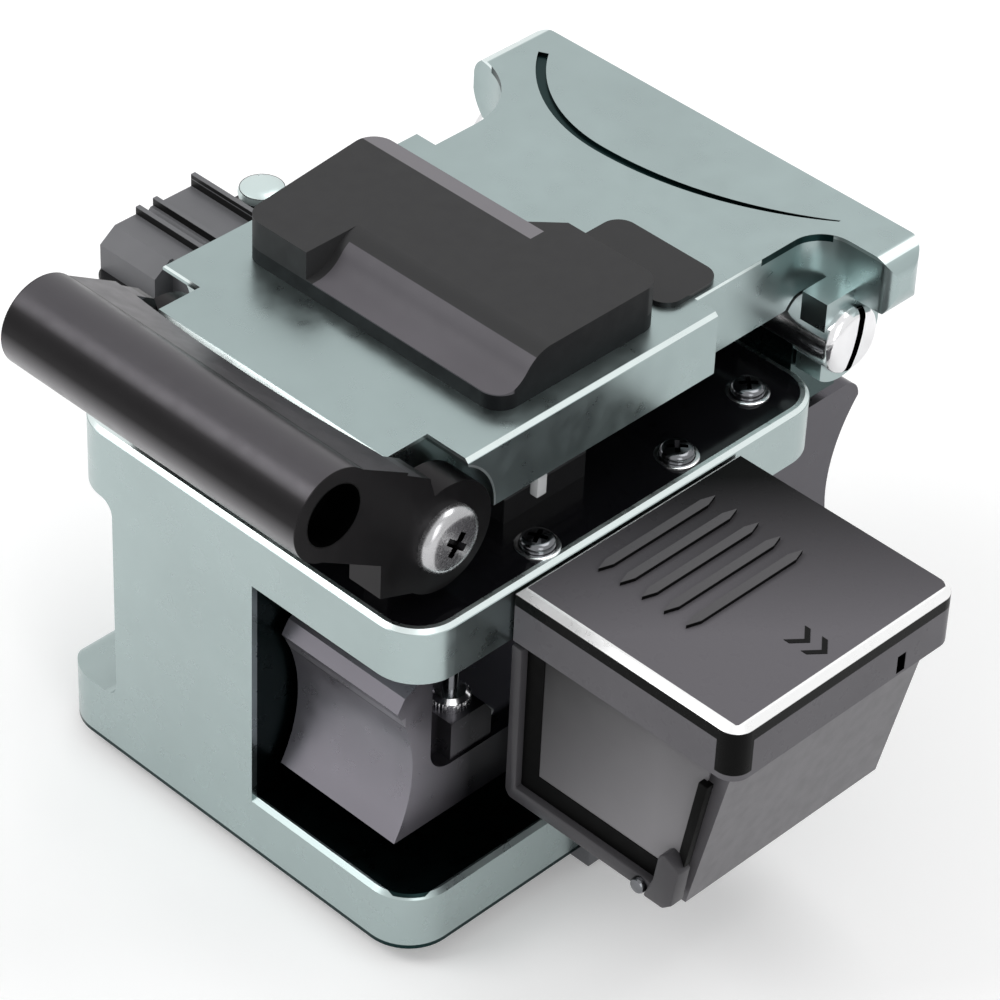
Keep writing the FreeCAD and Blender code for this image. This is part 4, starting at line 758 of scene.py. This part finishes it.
def side_places(boxes, height, along):
    """Places of heads of a given height on the left and right faces, turned by along."""
    places = []
    for low, high in boxes:
        middle = (low + high) / 2
        side = 1 if middle.x > 0 else -1
        x = high.x - height if side > 0 else low.x + height
        places.append(((x, middle.y, middle.z), (side, 0, 0), along))
    return places


def deck_screw_heads():
    """Cross-recessed heads on the deck, each turned its own way, on bright washers."""
    boxes = solids_in("deck_screws")
    first_low, first_high = boxes[0]
    radius, height = (first_high.x - first_low.x) / 2, first_high.z - first_low.z
    places = [(((low + high) / 2).xy.to_3d() + Vector((0, 0, low.z)), (0, 0, 1), (1, 0, 0))
              for low, high in boxes]
    heads = repeated("deck_screw_heads", pan_head(radius, height, 2.3, 0.55, 0.75), places, screw_finish,
                     "base", spread=1.2, seed=4)
    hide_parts("deck_screws")
    bore, rim, shoulder = radius + 0.05, radius + 0.55, 0.10
    washer = bmesh.new()
    lathe(washer, [(bore, -0.01), (rim, -0.01), (rim, shoulder), (radius + 0.40, 0.16),
                   (radius + 0.10, 0.16), (bore, shoulder), (bore, -0.01)], 40)
    repeated("deck_screw_washers", washer, places, chrome_finish, "base")


def lever_screw_heads():
    """Cross-recessed heads of the lever's pivots."""
    boxes = solids_in("lever_screws")
    low, high = boxes[0]
    radius, height = (high.z - low.z) / 2, high.x - low.x
    heads = repeated("lever_screw_heads", pan_head(radius, height, 3.2, 0.9, 0.8, 56),
                     side_places(boxes, height, (0, 0.62, 0.78)), pivot_finish, "base",
                     spread=0.5, seed=2)
    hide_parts("lever_screws")


def hinge_screw_heads():
    """Slotted heads of the hinge, and the neck of the one on the left."""
    boxes = solids_in("hinge_screws")
    low, high = boxes[0]
    radius = (high.z - low.z) / 2
    height = min(end.x - start.x for start, end in boxes)
    heads = repeated("hinge_screw_heads", slotted_head(radius, height, 1.0, 0.9),
                     side_places(boxes, height, (0, 0.25, 0.97)), chrome_finish, "base")
    span = high.x - low.x - height
    middle = (low + high) / 2
    place = Matrix.Translation((high.x, middle.y, middle.z)) @ Matrix.Rotation(-math.pi / 2, 4, "Y")
    turned_piece("hinge_screw_neck", [(0, 0), (radius * 0.62, 0), (radius * 0.62, span * 0.7),
                                      (radius * 0.8, span), (0, span)],
                 place, screw_finish, "base")
    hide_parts("hinge_screws")


deck_screw_heads()
lever_screw_heads()
hinge_screw_heads()


# ---------------------------------------------------------------- lid and fibre holder


def stop_tab():
    """Small bright stop under the lid's right edge."""
    right, under = high_end("lid_plate", "X"), low_end("lid_plate", "Z")
    plate_piece("lid_stop_tab", rectangle(-9.7, under - 3.2, -8.3, under + 0.3), "X",
                (right - 1.6, right - 0.5), tab_finish, "lid", 0.15)


def post_cover():
    """Rounded pale cap on the holder's post."""
    post_x, post_y = low_end("holder_shelf", "X") + 5.0, 8.0
    under = high_end("holder_shelf", "Z") - 0.9
    turned_piece("post_cover", [(0, 0), (2.7, 0), (2.75, 0.4), (2.6, 0.85), (2.1, 1.15), (1.2, 1.28),
                                (0, 1.32)],
                 Matrix.Translation((post_x, post_y, under)), pale_finish, "base")


stop_tab()
post_cover()


# ---------------------------------------------------------------- scrap bin and its lid


def bin_front():
    """Moulded edge, a black reveal of painted shade, large smoked window and corner latch of the bin's
    front.
    """
    (left, front, low), (right, _, _) = box_mm("scrap_bin")
    top = low_end("rocker_lid", "Z") - 0.4
    brow = top - 2.0
    lean, wall, inset = 4.4, 25.4, 0.4
    sunk = front + 0.05

    def side(z):
        """X of the bin's leaning right edge at a height."""
        return right - lean + lean * (z - low) / wall - inset

    foot_right = side(low) - 2.6
    plate_piece("bin_front_edge",
                [(left + 0.9, low + 0.3), (foot_right, low + 0.3), (foot_right, low + 2.0),
                 (left + 1.7, low + 2.0), (left + 1.7, top - 0.1), (left + 0.3, top),
                 (left + 0.3, low + 1.1)],
                "Y", (front - 1.3, sunk), ring_finish, "base", 0.2)
    # Painted shade: a flat black band inside the edge, for the shadow in the window's recess.
    plate_piece("bin_front_reveal",
                [(left + 1.5, low + 1.8), (foot_right, low + 1.8), (side(low) - 1.6, low + 4.6),
                 (left + 4.1, low + 4.6), (left + 4.1, top - 0.3), (left + 1.5, top - 0.1)],
                "Y", (front - 0.30, sunk), frame_finish, "base")
    window_left, sill = left + 3.9, low + 4.4
    window = plate_piece("bin_front_window",
                         [(window_left, sill), (side(sill) - 0.5, sill), (side(top) - 0.5, top + 0.2),
                          (window_left, top + 0.2)],
                         "Y", (front - 0.20, front + 0.04), window_finish, "base")
    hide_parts("bin_window")
    plate_piece("bin_front_strip",
                [(side(low + 8.2) - 0.9, low + 8.2), (side(low + 6.6) + 0.2, low + 6.6),
                 (side(brow) + 0.2, brow), (side(brow) - 1.0, brow + 0.1)],
                "Y", (front - 1.0, sunk), frame_finish, "base", 0.12)
    x = side(low + 6)
    plate_piece("bin_corner_latch",
                [(x - 4.2, low + 0.3), (x - 1.4, low + 0.3), (x - 0.2, low + 1.4), (x + 0.45, low + 6.4),
                 (x - 1.7, low + 7.6), (x - 2.5, low + 6.9), (x - 3.0, low + 3.4)],
                "Y", (front - 1.9, sunk), ring_finish, "base", 0.3)
    place = Matrix.Translation((x - 5.0, front - 0.9, low + 1.0)) @ Matrix.Rotation(math.pi / 2, 4, "X")
    turned_piece("bin_corner_foot", [(0, 0), (0.95, 0), (0.95, 0.8), (0.80, 1.05), (0.4, 1.15), (0, 1.2)],
                 place, screw_finish, "base", 32)


def rocker_mark():
    """Plain double chevron that shows where to press the rocker lid."""
    work = bmesh.new()
    first_x, pitch, middle_y, half = 52.0, 2.3, -1.8, 1.6
    for x in (first_x, first_x + pitch):
        slab(work, [(x, middle_y - half), (x + 0.75, middle_y - half), (x + 2.1, middle_y),
                    (x + 0.75, middle_y + half), (x, middle_y + half), (x + 1.35, middle_y)],
             "Z", DECK_TOP - 0.02, DECK_TOP + 0.06)
    kept("rocker_press_mark", closed_mesh("rocker_press_mark", work), mark_finish, "rocker")


bin_front()
rocker_mark()


# ---------------------------------------------------------------- carriage, blade and knob


def height_knob():
    """Screw of the blade's height: plain shank, knurled bright knob and black collar."""
    (x0, y0, z0), (x1, y1, shank_top) = box_mm("height_screw")
    middle = Vector(((x0 + x1) / 2, (y0 + y1) / 2, 0))
    radius = (x1 - x0) / 2
    knob_top = shank_top - 4.6
    knob_low = knob_top - 3.0
    grip = radius - 0.15
    place = Matrix.Translation(middle)
    turned_piece("height_shank", [(0, knob_top - 0.2), (0.9, knob_top - 0.2), (0.9, shank_top - 0.3),
                                  (0.75, shank_top), (0, shank_top)],
                 place, screw_finish, "carriage", 32)
    knob = turned_piece("height_knob", [(0, knob_low), (grip, knob_low), (grip, knob_top - 0.5),
                                        (radius - 0.6, knob_top), (0, knob_top + 0.1)],
                        place, chrome_finish, "carriage", 44)
    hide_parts("height_screw")
    flange = radius + 0.25
    turned_piece("height_knob_collar", [(0, z0), (1.0, z0), (1.0, knob_low - 0.9), (flange, knob_low - 0.9),
                                        (flange, knob_low), (0, knob_low + 0.05)],
                 place, mark_finish, "carriage", 44)
    ridge = bmesh.new()
    slab(ridge, rectangle(-1.2, -0.11, 1.2, 0.11), "Z", -0.1, 0.14)
    centre = middle + Vector((0, 0, knob_top - 1.7))
    outwards = [Vector((cos, sin, 0)) for cos, sin in around(32)]
    repeated("height_knob_knurl", ridge, [(centre + out * grip, out, (0, 0, 1)) for out in outwards],
             chrome_finish, "carriage")


def pocket_wedge():
    """Bright angled stop below the height knob, in the carriage's pocket."""
    (_, front, under), (right, _, _) = box_mm("carriage")
    y, z = front + 9.4, under + 6.55
    plate_piece("pocket_wedge", [(y, z), (y + 4.6, z), (y + 6.2, z + 2.3), (y + 1.2, z + 2.3)], "X",
                (right - 3.2, right - 1.0), tab_finish, "carriage", 0.2)


def wheel_marks():
    """Sixteen short index marks on each face of the blade wheel."""
    (x0, y0, z0), (x1, y1, z1) = box_mm("blade_wheel")
    middle_y, middle_z, ring = (y0 + y1) / 2, (z0 + z1) / 2, (z1 - z0) / 2 - 2.6
    tick = bmesh.new()
    slab(tick, rectangle(-0.75, -0.12, 0.75, 0.12), "Z", -0.02, 0.03)
    places = []
    for x, side in ((x0, -1), (x1, 1)):
        for cos, sin in around(16):
            out = Vector((0, cos, sin))
            places.append((Vector((x, middle_y, middle_z)) + out * ring, (side, 0, 0), out))
    repeated("blade_index_marks", tick, places, mark_finish, "blade")


height_knob()
pocket_wedge()
wheel_marks()


# ---------------------------------------------------------------- floor, light and camera, in metres


FLOOR_REACH = 3.0
FLOOR_GLOW = 0.21
WORLD_LEVEL = 0.50
LAMP_TARGET = Vector((0.0, 0.0, 0.03))
LAMPS = (  # name, place, size, power in watts
    ("key", (-0.45, -0.55, 0.75), (0.5, 0.5), 3.2),
    ("side", (0.75, -0.35, 0.45), (0.35, 0.7), 1.6),
    ("top", (0.10, 0.35, 0.85), (0.7, 0.4), 2.4),
)
AZIMUTH, ELEVATION, ROLL = (math.radians(degrees) for degrees in (43.18, 38.57, 2.63))
CAMERA_PLACE = Vector((0.25493, -0.26181, 0.32323))
SENSOR_MM = 36.0
LENS_PER_SENSOR = 4.305


def plain_floor():
    """Pale floor that shows white to the eye and in reflections, and keeps the shadow."""
    mesh = bpy.data.meshes.new("floor")
    corners = rectangle(-FLOOR_REACH, -FLOOR_REACH, FLOOR_REACH, FLOOR_REACH)
    mesh.from_pydata([(x, y, 0) for x, y in corners], [], [(0, 1, 2, 3)])
    floor = bpy.data.objects.new("floor", mesh)
    scene.collection.objects.link(floor)
    finish = Finish("pale_floor", (0.93, 0.93, 0.93), 0.0, 0.85)
    finish.mottle(200.0, 0.01)
    finish.shader.inputs["Emission Color"].default_value = (1.0, 1.0, 1.0, 1.0)
    path = finish.add("ShaderNodeLightPath").outputs
    seen = finish.either(path["Is Camera Ray"],
                         finish.either(path["Is Glossy Ray"], path["Is Transmission Ray"]))
    finish.link(finish.maths("MULTIPLY", seen, FLOOR_GLOW), finish.shader.inputs["Emission Strength"])
    mesh.materials.append(finish.material)


def soft_lamp(name, place, size, power):
    data = bpy.data.lights.new(name, "AREA")
    data.shape = "RECTANGLE"
    data.size, data.size_y = size
    data.energy = power
    lamp = bpy.data.objects.new(name, data)
    scene.collection.objects.link(lamp)
    aim = (LAMP_TARGET - Vector(place)).to_track_quat("-Z", "Y")
    lamp.matrix_world = Matrix.Translation(place) @ aim.to_matrix().to_4x4()


def studio_light():
    """Even white surroundings, brighter to the eye than as light, and three soft lamps."""
    world = bpy.data.worlds.new("studio")
    world.use_nodes = True
    scene.world = world
    tree = world.node_tree
    background = tree.nodes["Background"]
    background.inputs["Color"].default_value = (1.0, 1.0, 1.0, 1.0)
    path = tree.nodes.new("ShaderNodeLightPath")
    seen = path.outputs["Is Camera Ray"]
    for ray in ("Is Glossy Ray", "Is Transmission Ray"):
        either = tree.nodes.new("ShaderNodeMath")
        either.operation = "MAXIMUM"
        tree.links.new(seen, either.inputs[0])
        tree.links.new(path.outputs[ray], either.inputs[1])
        seen = either.outputs[0]
    level = tree.nodes.new("ShaderNodeMapRange")
    level.inputs["To Min"].default_value = WORLD_LEVEL
    level.inputs["To Max"].default_value = 1.0
    tree.links.new(seen, level.inputs["Value"])
    tree.links.new(level.outputs["Result"], background.inputs["Strength"])
    for lamp in LAMPS:
        soft_lamp(*lamp)


def place_camera():
    """Long lens from above the operator's right hand."""
    back = Vector((math.sin(AZIMUTH) * math.cos(ELEVATION),
                   -math.cos(AZIMUTH) * math.cos(ELEVATION), math.sin(ELEVATION)))
    right = (-back).cross(Vector((0, 0, 1))).normalized()
    up = right.cross(-back)
    rolled_right = right * math.cos(ROLL) + up * math.sin(ROLL)
    rolled_up = up * math.cos(ROLL) - right * math.sin(ROLL)
    data = bpy.data.cameras.new("camera")
    data.sensor_width = SENSOR_MM
    data.lens = LENS_PER_SENSOR * SENSOR_MM
    data.clip_start = 0.01
    camera = bpy.data.objects.new("camera", data)
    scene.collection.objects.link(camera)
    turn = Matrix((rolled_right, rolled_up, back)).transposed().to_4x4()
    camera.matrix_world = Matrix.Translation(CAMERA_PLACE) @ turn
    scene.camera = camera


plain_floor()
studio_light()
place_camera()
